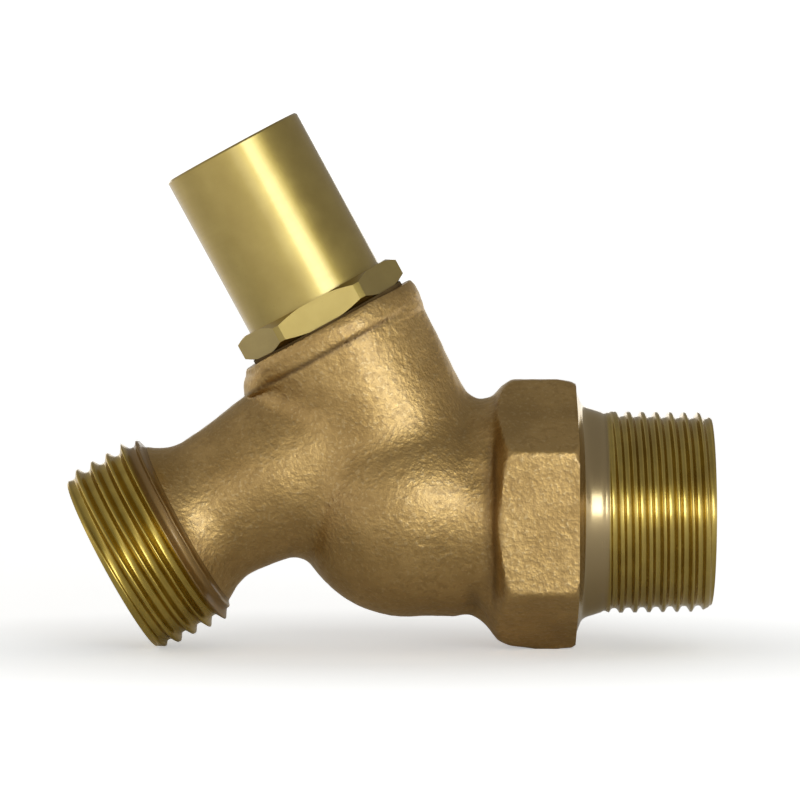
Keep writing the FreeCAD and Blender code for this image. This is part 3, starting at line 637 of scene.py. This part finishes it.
# %% The collar
COLLAR_HEIGHTS = (23.3, 24.2, 24.75, 25.0, 25.15, 25.5, 26.0, 26.5, 27.0, 27.3, 27.6, 27.9)
COLLAR_FRONT = (12.2, 12.25, 12.25, 12.15, 12.45, 12.62, 12.62, 12.62, 12.62, 12.55, 12.35, 12.3)
COLLAR_SPOUT = (13.6, 13.6, 13.6, 13.6, 13.5, 13.35, 13.15, 12.8, 12.25, 12.0, 11.75, 11.6)
COLLAR_BOSS = (12.2, 12.4, 12.45, 12.45, 12.5, 12.55, 12.62, 12.62, 12.62, 12.55, 12.4, 12.3)
collar_middle = crossing + 0.35 * MM * spout_axis
height_on_stem = along(stem_axis, crossing, places)
radius = away_from(stem_axis, collar_middle, places)
spoutward = along(spout_axis, collar_middle, places) / np.maximum(radius, MM)
by_spout, by_boss = ease(spoutward, 0.7, 0.97), ease(-spoutward, 0.5, 0.9)
wanted = blend_tables(
    height_on_stem, COLLAR_HEIGHTS,
    (by_spout, COLLAR_SPOUT), (by_boss, COLLAR_BOSS), (1 - by_spout - by_boss, COLLAR_FRONT),
)
share = ease(height_on_stem, (24.2 - 0.9 * by_boss) * MM, COLLAR_START)
share *= (radius > 11.4 * MM) * (radius < 13.7 * MM)
skin.press(stem_axis, collar_middle, wanted, share)
rim = (height_on_stem > RIM_HEIGHT - 0.1 * MM) & (away_from(stem_axis, crossing, places) > 10.5 * MM)
rise = (0.42 - 0.25 * (by_spout + by_boss)) * MM * rim
places += np.outer(rise, np.array(stem_axis))
print("corners pressed to the collar:", int((share > 0.5).sum()))

# %% [markdown]
# The spout flares out before its thread. The last stretch of the flare follows a rule as well, so
# that the turned end meets an even edge. Then the skin is saved.

# %% The flare
FLARE_PLACES = (-12.6, -12.0, -11.5, -11.25)
FLARE_RADII = (10.4, 10.7, 11.03, 11.2)
before_mouth = along(spout_axis, spout_mouth, places)
wanted = np.interp(before_mouth / MM, FLARE_PLACES, FLARE_RADII) * MM
share = ease(before_mouth, -12.6 * MM, -11.7 * MM)
share *= away_from(spout_axis, spout_mouth, places) > 9.6 * MM
skin.press(spout_axis, spout_mouth, wanted, share)
skin.save(casting.data)
print("corners pressed to the flare:", int((share > 0.5).sum()))

# %% [markdown]
# Tarnish gathers in hollows and shade falls in them, so both are painted darker. The same pull that
# found the creases now marks them on the mesh, with two lines added: a painted shadow under the
# collar, and tarnish with painted shade in the corner behind the boss. A second mark says which
# skin is as cast, for the grain.

# %% Mark tarnish, painted shade and cast skin
HOLLOW_PULL = 0.03 * MM


def line_at(values, middle, width):
    """A soft line across places in metres, with its middle and width in millimetres."""
    return np.exp(-((values / MM - middle) / width) ** 2)


# Creases are marked for tarnish and painted shade alike.
hollow = np.clip(skin.outward_pull(casting.data) / HOLLOW_PULL, 0, 1)[:, None]
for _ in range(3):
    hollow = skin.spread(hollow)
turn = np.abs(np.degrees(np.arctan2(places[:, 1], places[:, 2] + BOSS_DROP)))
near_collar = away_from(stem_axis, collar_middle, places) < 14 * MM
# A painted shadow line under the collar.
under_collar = line_at(height_on_stem, 24.95, 0.3) * (1 - by_boss) * near_collar
# Tarnish and painted shade in the corner behind the boss.
behind_boss = line_at(places[:, 0], -20.25, 0.4) * ease(turn, 35, 60) * ease(turn, 150, 120)
hollow = np.maximum(hollow, np.maximum(under_collar, 0.9 * behind_boss)[:, None])
cast_share = cast
for _ in range(3):
    cast_share = np.minimum(cast_share, skin.spread(cast_share))
for name, values in (("hollow", hollow), ("cast", cast_share)):
    casting.data.attributes.new(name, "FLOAT", "POINT").data.foreach_set("value", values.ravel())
print("share of the skin in hollows:", round(float(hollow.mean()), 3))


# %% [markdown]
# ## Sand grain
#
# The sand leaves pebbles about a millimetre across, and the skin swells a little as it cools. Both
# follow a rule, so a node tree moves the skin along its normals. It fades out on machined faces.

# %% Geometry node trees
class Tree(Nodes):
    """A geometry node tree with named inputs."""

    def __init__(self, name, inputs):
        super().__init__(bpy.data.node_groups.new(name, "GeometryNodeTree"))
        face = self.tree.interface
        face.new_socket("Geometry", in_out="INPUT", socket_type="NodeSocketGeometry")
        for key in inputs:
            face.new_socket(key, in_out="INPUT", socket_type="NodeSocketFloat")
        face.new_socket("Material", in_out="INPUT", socket_type="NodeSocketMaterial")
        face.new_socket("Geometry", in_out="OUTPUT", socket_type="NodeSocketGeometry")
        self.inside = self.tree.nodes.new("NodeGroupInput").outputs
        self.out = self.tree.nodes.new("NodeGroupOutput").inputs

    def close(self, shape):
        """End in real geometry with a material, which the export needs."""
        real = self.add("GeometryNodeRealizeInstances", Geometry=shape).outputs[0]
        material = self.inside["Material"]
        painted = self.add("GeometryNodeSetMaterial", Geometry=real, Material=material)
        self.put(self.out["Geometry"], painted.outputs[0])
        return self.tree


def use_tree(piece, tree, values):
    """Put a tree on a piece, set its named inputs, and bake it."""
    modifier = piece.modifiers.new(tree.name, "NODES")
    modifier.node_group = tree
    inputs = [item for item in tree.interface.items_tree if item.in_out == "INPUT"]
    sockets = {item.name: item.identifier for item in inputs}
    for key, value in values.items():
        modifier[sockets[key]] = value
    bake(piece)


# %% A tree that raises the grain
def grain_tree():
    made = Tree("sand_grain", ("Pebble size", "Pebble height", "Swell size", "Swell height"))
    place = made.add("GeometryNodeInputPosition").outputs[0]
    normal = made.add("GeometryNodeInputNormal").outputs[0]
    share = made.add("GeometryNodeInputNamedAttribute", Name="cast").outputs[0]
    lift = 0.0
    for part, detail in (("Pebble", 1.0), ("Swell", 0.0)):
        scale = made.maths("DIVIDE", 1.0, made.inside[part + " size"])
        noise = made.add("ShaderNodeTexNoise", Vector=place, Scale=scale, Detail=detail)
        wave = made.maths("SUBTRACT", noise.outputs[0], 0.5)
        lift = made.maths("MULTIPLY_ADD", wave, made.inside[part + " height"], lift)
    lift = made.maths("MULTIPLY", lift, share)
    moved = made.add("GeometryNodeSetPosition", Geometry=made.inside["Geometry"])
    made.put(moved.inputs["Offset"], made.vector("SCALE", normal, Scale=lift)[0])
    return made.close(moved.outputs[0])


use_tree(casting, grain_tree(), {
    "Pebble size": 1.2 * MM, "Pebble height": 0.12 * MM,
    "Swell size": 6 * MM, "Swell height": 0.25 * MM,
    "Material": finishes["cast_bronze"],
})
shade_round(casting, 45)
print("casting:", triangles_in(casting.data), "triangles")


# %% [markdown]
# ## The two cut threads
#
# A thread is a groove of constant shape that climbs one pitch in each turn. The blank is turned
# first, with rows of corners that already climb with the groove, so that each row keeps its place
# on crest, flank or root. A node tree then plays the cutting tool: it pushes every corner in to
# the tool's edge, if the tool reaches it there.

# %% A turned blank
ROUND_STEPS = 216
ROWS_PER_TURN = 18


def lathe(name, rings):
    """Join rings of corners, each a list of (radius, height) round the Z axis, into a closed skin."""
    shape = bmesh.new()
    angles = [2 * math.pi * step / ROUND_STEPS for step in range(ROUND_STEPS + 1)]
    rows = [
        [shape.verts.new((r * math.cos(a), r * math.sin(a), z)) for (r, z), a in zip(ring, angles)]
        for ring in rings
    ]
    for lower, upper in zip(rows, rows[1:] + rows[:1]):
        for step in range(ROUND_STEPS):
            shape.faces.new((lower[step], lower[step + 1], upper[step + 1], upper[step]))
    mesh = bpy.data.meshes.new(name)
    shape.to_mesh(mesh)
    shape.free()
    return add_piece(mesh, name)


def plain_ring(radius, height):
    return [(radius, height)] * (ROUND_STEPS + 1)


def climbing_rings(profile, low, high, pitch, first):
    """Rings between two heights that climb one pitch a turn and pass through the first groove."""
    heights, radii = zip(*profile)
    step = pitch / ROWS_PER_TURN
    start = first - math.ceil((first - low + pitch) / step) * step
    rings = []
    for row in range(int((high - start) / step) + 2):
        base = start + row * step
        climb = [base + pitch * turned / ROUND_STEPS for turned in range(ROUND_STEPS + 1)]
        held = [min(max(z, low), high) for z in climb]
        rings.append([(float(np.interp(z, heights, radii)), z) for z in held])
    return rings


# %% [markdown]
# The tree reads each corner's radius, angle and height. From these it finds the nearest groove and
# how far aside of its middle the corner lies. The tool's edge is flat there, then climbs the flank,
# with a soft corner between. Past the last groove the tool is drawn out, and the larger the
# run-out, the more gently.

# %% A tree that cuts the groove
def thread_tree():
    made = Tree("thread_cutter", (
        "Pitch", "First groove", "Last groove", "Run-out", "Root radius", "Taper",
        "Root flat", "Flank slope", "Root corner", "Lowest cut",
    ))
    size, maths = made.inside, made.maths
    place = made.add("GeometryNodeInputPosition").outputs[0]
    x, y, z = made.add("ShaderNodeSeparateXYZ", place).outputs
    radius = maths("SQRT", maths("ADD", maths("MULTIPLY", x, x), maths("MULTIPLY", y, y)))
    turned = maths("DIVIDE", maths("ARCTAN2", y, x), 2 * math.pi)
    grooves = maths("DIVIDE", maths("SUBTRACT", z, size["First groove"]), size["Pitch"])
    grooves = maths("SUBTRACT", grooves, turned)
    nearest = maths("ROUND", grooves)
    aside = maths("ABSOLUTE", maths("SUBTRACT", grooves, nearest))
    aside = maths("MULTIPLY", aside, size["Pitch"])
    middle = maths("MULTIPLY_ADD", maths("ADD", nearest, turned), size["Pitch"], size["First groove"])
    missing = maths("MAXIMUM", maths("SUBTRACT", size["Last groove"], middle), 0.0)
    drawn_out = maths("DIVIDE", missing, size["Run-out"])
    flank = maths("SUBTRACT", aside, size["Root flat"])
    corner = maths("MULTIPLY", size["Root corner"], size["Root corner"])
    soft = maths("SQRT", maths("ADD", maths("MULTIPLY", flank, flank), corner))
    flank = maths("MULTIPLY", maths("ADD", flank, soft), 0.5)
    edge = maths("MULTIPLY_ADD", flank, size["Flank slope"], size["Root radius"])
    edge = maths("SUBTRACT", edge, maths("MULTIPLY", z, size["Taper"]))
    edge = maths("ADD", edge, drawn_out)
    outside = maths("GREATER_THAN", radius, size["Lowest cut"])
    share = maths("MINIMUM", maths("DIVIDE", edge, maths("MAXIMUM", radius, 1e-6)), 1.0)
    cut = made.add("ShaderNodeCombineXYZ", maths("MULTIPLY", x, share), maths("MULTIPLY", y, share), z)
    moved = made.add("GeometryNodeSetPosition", Geometry=size["Geometry"], Selection=outside)
    made.put(moved.inputs["Position"], cut.outputs[0])
    return made.close(moved.outputs[0])


threads = thread_tree()
print("thread cutter:", len(threads.nodes), "nodes")


# %% [markdown]
# In both threads the root takes over a third of the pitch and the crest an eighth. Crests and
# roots come off the tool slightly rounded, so their edges are shaded soft.

# %% Cut a thread
ROOT_SHARE, CREST_SHARE, CORNER_SHARE = 0.37, 0.12, 0.07


def soften_thread(mesh):
    """Let crests and roots shade as slightly rounded, apart from both ends of the piece."""
    places = places_of(mesh)
    heights = places[:, 2]
    threaded = np.hypot(places[:, 0], places[:, 1]) > 10.8 * MM
    threaded &= (heights < heights.max() - 0.01 * MM) & (heights > heights.min() + 0.01 * MM)
    for edge in mesh.edges:
        if edge.use_edge_sharp and threaded[edge.vertices[0]] and threaded[edge.vertices[1]]:
            edge.use_edge_sharp = False


def cut_thread(piece, pitch, first, last, run_out, root_radius, taper, depth, finish):
    """Cut one groove into a blank, as deep as the tool goes below the crest."""
    root_flat = ROOT_SHARE * pitch
    flank_width = (pitch - root_flat - CREST_SHARE * pitch) / 2
    use_tree(piece, threads, {
        "Pitch": pitch, "First groove": first, "Last groove": last, "Run-out": run_out,
        "Root radius": root_radius, "Taper": taper, "Root flat": root_flat / 2,
        "Flank slope": depth / flank_width, "Root corner": CORNER_SHARE * pitch,
        "Lowest cut": 11.0 * MM, "Material": finish,
    })
    merge_corners(piece.data, 2e-6)
    shade_round(piece, 38)
    soften_thread(piece.data)


# %% [markdown]
# The pipe thread is tapered, one part in sixteen on the diameter. Behind it a plain neck runs back
# to the face of the wrench boss, which is turned in the same setting, so both belong to this piece.

# %% The blank of the inlet end
PIPE_PITCH = 1.8143 * MM
PIPE_TAPER = math.tan(math.radians(1.79))
PIPE_DEPTH = 0.82 * MM
PIPE_CREST = 12.95 * MM
PIPE_LAST_GROOVE = -4.9 * MM
PIPE_RUN_OUT = 1.2
INLET_BORE = mounts["inlet_bore"]["dims"]["r_mm"] * MM
LEAD_IN = 0.3 * MM
pipe_land = mounts["inlet_thread"]["dims"]
inlet_end = inlet_mouth.x
land_end = mounts["inlet_thread"]["pos_m"][0] - 0.5 * pipe_land["length_mm"] * MM
chamfer_back = inlet_end - 1.5 * MM
pipe_groove = inlet_end - 0.17 * PIPE_PITCH
face_and_neck = (
    (15.9, -9.5), (15.7, -9.4), (14.9, -9.1), (14.35, -8.88), (14.0, -8.65), (13.75, -8.3),
    (13.55, -7.85), (13.4, -7.3), (13.2, -6.7), (13.05, -6.2), (12.85, -5.9),
)
outside = [
    (-5.9 * MM, 12.85 * MM), (land_end, 12.85 * MM), (land_end + 0.5 * MM, pipe_land["r_mm"] * MM),
    (chamfer_back, PIPE_CREST), (inlet_end, 12.2 * MM),
]
rings = [plain_ring(INLET_BORE, BOSS_FACE)]
rings += [plain_ring(radius * MM, height * MM) for radius, height in face_and_neck]
rings += climbing_rings(outside, -5.89 * MM, inlet_end, PIPE_PITCH, pipe_groove)
rings += [plain_ring(INLET_BORE + LEAD_IN, inlet_end), plain_ring(INLET_BORE, inlet_end - LEAD_IN)]
inlet_piece = lathe("valve_body_inlet_end", rings)
print("inlet blank:", len(rings), "rings")

# %% Cut the pipe thread
root_at_origin = PIPE_CREST + chamfer_back * PIPE_TAPER - PIPE_DEPTH
cut_thread(
    inlet_piece, PIPE_PITCH, pipe_groove, PIPE_LAST_GROOVE, PIPE_RUN_OUT, root_at_origin,
    PIPE_TAPER, PIPE_DEPTH, finishes["inlet_brass"],
)
print("inlet end:", triangles_in(inlet_piece.data), "triangles")

# %% [markdown]
# The hose thread is coarser. Its groove runs out where the cast spout flares out to meet it, so
# the first crest is full below and low above.

# %% The blank of the spout end
HOSE_PITCH = 2.2087 * MM
HOSE_ROOT = 12.08 * MM
HOSE_CREST = 13.0 * MM
HOSE_RUN_OUT = 0.9
HOSE_BORE = mounts["outlet_bore"]["dims"]["r_mm"] * MM
flare_end = along(spout_axis, spout_mouth, np.array([FLARE_END]))[0]
hose_groove = flare_end + 1.15 * MM
first_crest = (
    (0, 11.15), (0.25, 11.4), (0.4, 11.55), (0.52, 11.9), (0.66, 12.5), (0.85, 12.6),
    (1.65, 13.45), (2.5, 13.5), (4.0, 13.2), (5.0, 13.0),
)
outside = [(flare_end + height * MM, radius * MM) for height, radius in first_crest]
outside += [(-1.3 * MM, HOSE_CREST), (-0.9 * MM, 12.6 * MM), (0, 12.1 * MM)]
rings = [plain_ring(HOSE_BORE, flare_end)]
rings += climbing_rings(outside, flare_end, 0, HOSE_PITCH, hose_groove)
rings += [plain_ring(HOSE_BORE + LEAD_IN, 0), plain_ring(HOSE_BORE, -LEAD_IN)]
hose_piece = lathe("valve_body_spout_end", rings)
print("spout blank:", len(rings), "rings")

# %% Cut the hose thread
cut_thread(
    hose_piece, HOSE_PITCH, hose_groove, flare_end + 0.5 * MM, HOSE_RUN_OUT, HOSE_ROOT, 0.0,
    HOSE_CREST - HOSE_ROOT, finishes["spout_brass"],
)
print("spout end:", triangles_in(hose_piece.data), "triangles")

# %% Put both ends in their places
inlet_piece.data.transform(frame_along(inlet_axis, Vector()))
hose_piece.data.transform(frame_along(spout_axis, spout_mouth))
body_pieces = (
    (casting, "cast_bronze"), (inlet_piece, "turned_brass"), (hose_piece, "turned_brass"),
)
for piece, slot in body_pieces:
    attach(piece, "valve")
    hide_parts("valve_body")
print("the body is shown as:", ", ".join(piece.name for piece, slot in body_pieces))


# %% [markdown]
# ## The turned pieces
#
# The shield and bonnet, the stem and the small inner pieces are plain turned shapes, which the CAD
# already has. Each gets a joined copy, so that its round walls shade as round. The gasket alone is
# changed: the flange squeezes its soft ring outwards.

# %% Joined copies of the turned pieces
def widen(mesh, axis, origin, factor):
    """Move a mesh's corners away from an axis."""
    places = places_of(mesh)
    middle = foot_on(axis, origin, places)
    mesh.vertices.foreach_set("co", (middle + (places - middle) * factor).ravel())
    mesh.update()


GASKET_SQUEEZE = 1.055
pieces_on = {
    "valve": (
        "bonnet_gasket", "lock_shield_bonnet", "stem_packing", "packing_gland", "packing_nut",
    ),
    "stem": ("stem",),
    "disc": ("disc_holder", "seat_washer", "washer_screw", "stem_retaining_ring"),
}
stuff = {
    "bonnet_gasket": ("fibre", "fibre"),
    "stem_packing": ("graphite", "graphite_packing"),
    "seat_washer": ("rubber", "black_rubber"),
    "stem_retaining_ring": ("spring_steel", "spring_steel"),
}
for body, nodes in pieces_on.items():
    for node in nodes:
        finish, slot = stuff.get(node, ("shield_brass", "turned_brass"))
        piece = merged_copy(node, node + "_turned")
        if node == "bonnet_gasket":
            widen(piece.data, stem_axis, crossing, GASKET_SQUEEZE)
        piece.data.materials.append(finishes[finish])
        shade_round(piece, 25)
        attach(piece, body)
        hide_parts(node)
    print("on", body + ":", ", ".join(nodes))

# %% [markdown]
# The copies stand in for the CAD nodes in the picture. The nodes themselves get a finish too, so
# that none is left bare.

# %% A finish for the CAD nodes
for node in ("valve_body", *sum(pieces_on.values(), ())):
    materials = frame["nodes"][node].data.materials
    materials.clear()
    materials.append(finishes["shield_brass"])
print("CAD nodes:", 1 + sum(len(nodes) for nodes in pieces_on.values()))

# %% [markdown]
# ## Studio
#
# The bibb lies on a white table with a low white wall round it. Both glow a little, which keeps
# them white without more light on the bibb. To the lens they glow less close to the bibb, which
# paints a soft shadow there. The metal sees no glow right under itself, which paints shade into
# the reflections on its undersides, and more glow from the wall than the lens sees, which paints
# brighter reflections of it.

# %% White that glows
# GLOW_SHADOW and GLOW_NEAR are painted shadow near the bibb, for the lens and for the metal. GLOW_WALL is painted
# reflection, seen by the metal only.
GLOW_SHADOW = 0.4
GLOW_FAR = 0.62
GLOW_NEAR = 0.0
GLOW_METAL = 0.5
GLOW_WALL = 0.7
SHADOW_EDGE = (0.02, 0.05)
METAL_EDGE = (0.02, 0.12)
WALL_FOOT, WALL_FULL = 0.02, 0.12
SHADOW_SQUEEZE = 0.6
table_height = cad_box[0].z
aim = (cad_box[0] + cad_box[1]) / 2


def white_sweep():
    """White for table and wall, with one glow for the lens and another for the metal, each lower near the bibb as
    a painted shadow.
    """
    made = Finish("white_sweep", metal=0.0, rough=0.9)
    made.shader.inputs["Base Color"].default_value = (0.93, 0.93, 0.92, 1)
    made.shader.inputs["Emission Color"].default_value = (1, 1, 1, 1)
    rays = made.add("ShaderNodeLightPath").outputs
    centre = made.add("ShaderNodeMapping", Vector=made.place)
    centre.inputs["Location"].default_value = (-SHADOW_SQUEEZE * aim.x, 0, -table_height)
    centre.inputs["Scale"].default_value = (SHADOW_SQUEEZE, 1, 1)
    far = made.vector("LENGTH", centre.outputs[0])["Value"]
    # Painted shadow: the lens sees less glow close to the bibb.
    to_lens = made.ramp(far, *SHADOW_EDGE, GLOW_SHADOW, GLOW_FAR)
    to_lens = made.maths("MULTIPLY", rays["Is Camera Ray"], to_lens)
    height = made.add("ShaderNodeSeparateXYZ", Vector=made.place).outputs["Z"]
    # Painted reflection: the wall glows for the metal only, and painted shade: no glow under the bibb.
    wall = made.ramp(height, table_height + WALL_FOOT, table_height + WALL_FULL, 0.0, GLOW_WALL)
    to_metal = made.maths("ADD", wall, made.ramp(far, *METAL_EDGE, GLOW_NEAR, GLOW_METAL))
    by_metal = made.maths("MAXIMUM", rays["Is Glossy Ray"], rays["Is Transmission Ray"])
    to_metal = made.maths("MULTIPLY", by_metal, to_metal)
    made.put(made.shader.inputs["Emission Strength"], made.maths("ADD", to_lens, to_metal))
    return made.material


# %% Table and wall
TABLE_RADIUS = 1.2
WALL_HEIGHT = 0.2
COVE = 0.12
SWEEP_STEPS = 96
profile = [(0.1, 0.0), (TABLE_RADIUS - COVE, 0.0)]
profile += [
    (TABLE_RADIUS - COVE + COVE * math.sin(bend), COVE - COVE * math.cos(bend))
    for bend in np.linspace(0, math.pi / 2, 12)[1:]
]
profile.append((TABLE_RADIUS, WALL_HEIGHT))
shape = bmesh.new()
rows = [
    [
        shape.verts.new((aim.x + r * math.cos(a), r * math.sin(a), table_height + z))
        for a in np.linspace(0, 2 * math.pi, SWEEP_STEPS, False)
    ]
    for r, z in profile
]
shape.faces.new(rows[0])
for lower, upper in zip(rows, rows[1:]):
    for step in range(SWEEP_STEPS):
        shape.faces.new((lower[step - 1], lower[step], upper[step], upper[step - 1]))
bmesh.ops.recalc_face_normals(shape, faces=shape.faces)
sweep_mesh = bpy.data.meshes.new("white_sweep")
shape.to_mesh(sweep_mesh)
shape.free()
sweep_mesh.materials.append(white_sweep())
sweep = add_piece(sweep_mesh, "white_sweep")
shade_round(sweep)
print("table:", round(2 * TABLE_RADIUS, 1), "m across at height", round(table_height / MM, 2), "mm")

# %% [markdown]
# One softbox stands to the right of the camera, and a wider, weaker one nearer to it. They make
# the bright bands along shield and threads. Their light is daylight, a little cooler than the room.

# %% Softboxes
DAYLIGHT = (0.83, 0.93, 1.0)
LIGHT_DISTANCE = 1.0


def softbox(name, direction, width, height, power):
    light = bpy.data.lights.new(name, "AREA")
    light.shape = "RECTANGLE"
    light.size, light.size_y = width, height
    light.energy = power
    light.color = DAYLIGHT
    lamp = bpy.data.objects.new(name, light)
    bpy.context.scene.collection.objects.link(lamp)
    direction = Vector(direction).normalized()
    lamp.location = aim + LIGHT_DISTANCE * direction
    lamp.rotation_euler = direction.to_track_quat("Z", "Y").to_euler()
    print(name + ":", width, "x", height, "m,", power, "W")


softbox("softbox", (0.49, -0.87, 0.17), 0.56, 0.32, 3.0)
softbox("diffuser", (0.3, -0.94, 0.17), 0.95, 0.5, 1.2)

# %% [markdown]
# The room is dim above, so that the metal keeps dark shoulders, and lighter to the left and low in
# front, as a room with white flats beside the table.

# %% Room light
ROOM_LIGHT = 0.3
LEFT_LIGHT = 0.3
RIGHT_LIGHT = 0.1
FRONT_LIGHT = 0.55


def room_light():
    world = bpy.data.worlds.new("dim_room")
    bpy.context.scene.world = world
    world.use_nodes = True
    made = Nodes(world.node_tree)
    direction = made.add("ShaderNodeTexCoord").outputs["Generated"]
    x, y, z = made.add("ShaderNodeSeparateXYZ", direction).outputs
    left = made.maths("MAXIMUM", made.maths("MULTIPLY", x, -LEFT_LIGHT), 0.0)
    right = made.maths("MAXIMUM", made.maths("MULTIPLY", x, RIGHT_LIGHT), 0.0)
    front = made.maths("MAXIMUM", made.maths("MULTIPLY", y, -1.0), 0.0)
    front = made.maths("MULTIPLY", front, front)
    front = made.maths("MULTIPLY", front, made.ramp(z, 0.25, 0.65, FRONT_LIGHT, 0.0))
    level = made.maths("ADD", made.maths("ADD", left, right), front)
    level = made.maths("ADD", level, ROOM_LIGHT)
    background = world.node_tree.nodes["Background"]
    made.put(background.inputs["Strength"], level)
    background.inputs["Color"].default_value = (1.0, 0.99, 0.96, 1)


room_light()
print("room light:", ROOM_LIGHT, "above, up to", ROOM_LIGHT + FRONT_LIGHT, "in front")

# %% [markdown]
# ## Camera
#
# The camera looks straight from the side, about three degrees down, through a long lens. It
# stands a little over half a metre away, where the outline was fitted to the photograph.

# %% Camera at the photograph's angle
CAMERA_PLACE = Vector((-32.25, -583, 47)) * MM
LOOKING_AT = Vector((-32.25, 0, 14.57)) * MM
lens = bpy.data.cameras.new("camera")
lens.sensor_width = 36
lens.lens = 202.5
lens.clip_start = 0.01
camera = bpy.data.objects.new("camera", lens)
bpy.context.scene.collection.objects.link(camera)
camera.location = CAMERA_PLACE
camera.rotation_euler = (LOOKING_AT - CAMERA_PLACE).to_track_quat("-Z", "Y").to_euler()
bpy.context.scene.camera = camera
bpy.context.scene.view_settings.view_transform = "Standard"
print("camera:", round((LOOKING_AT - CAMERA_PLACE).length, 3), "m away, lens", lens.lens, "mm")
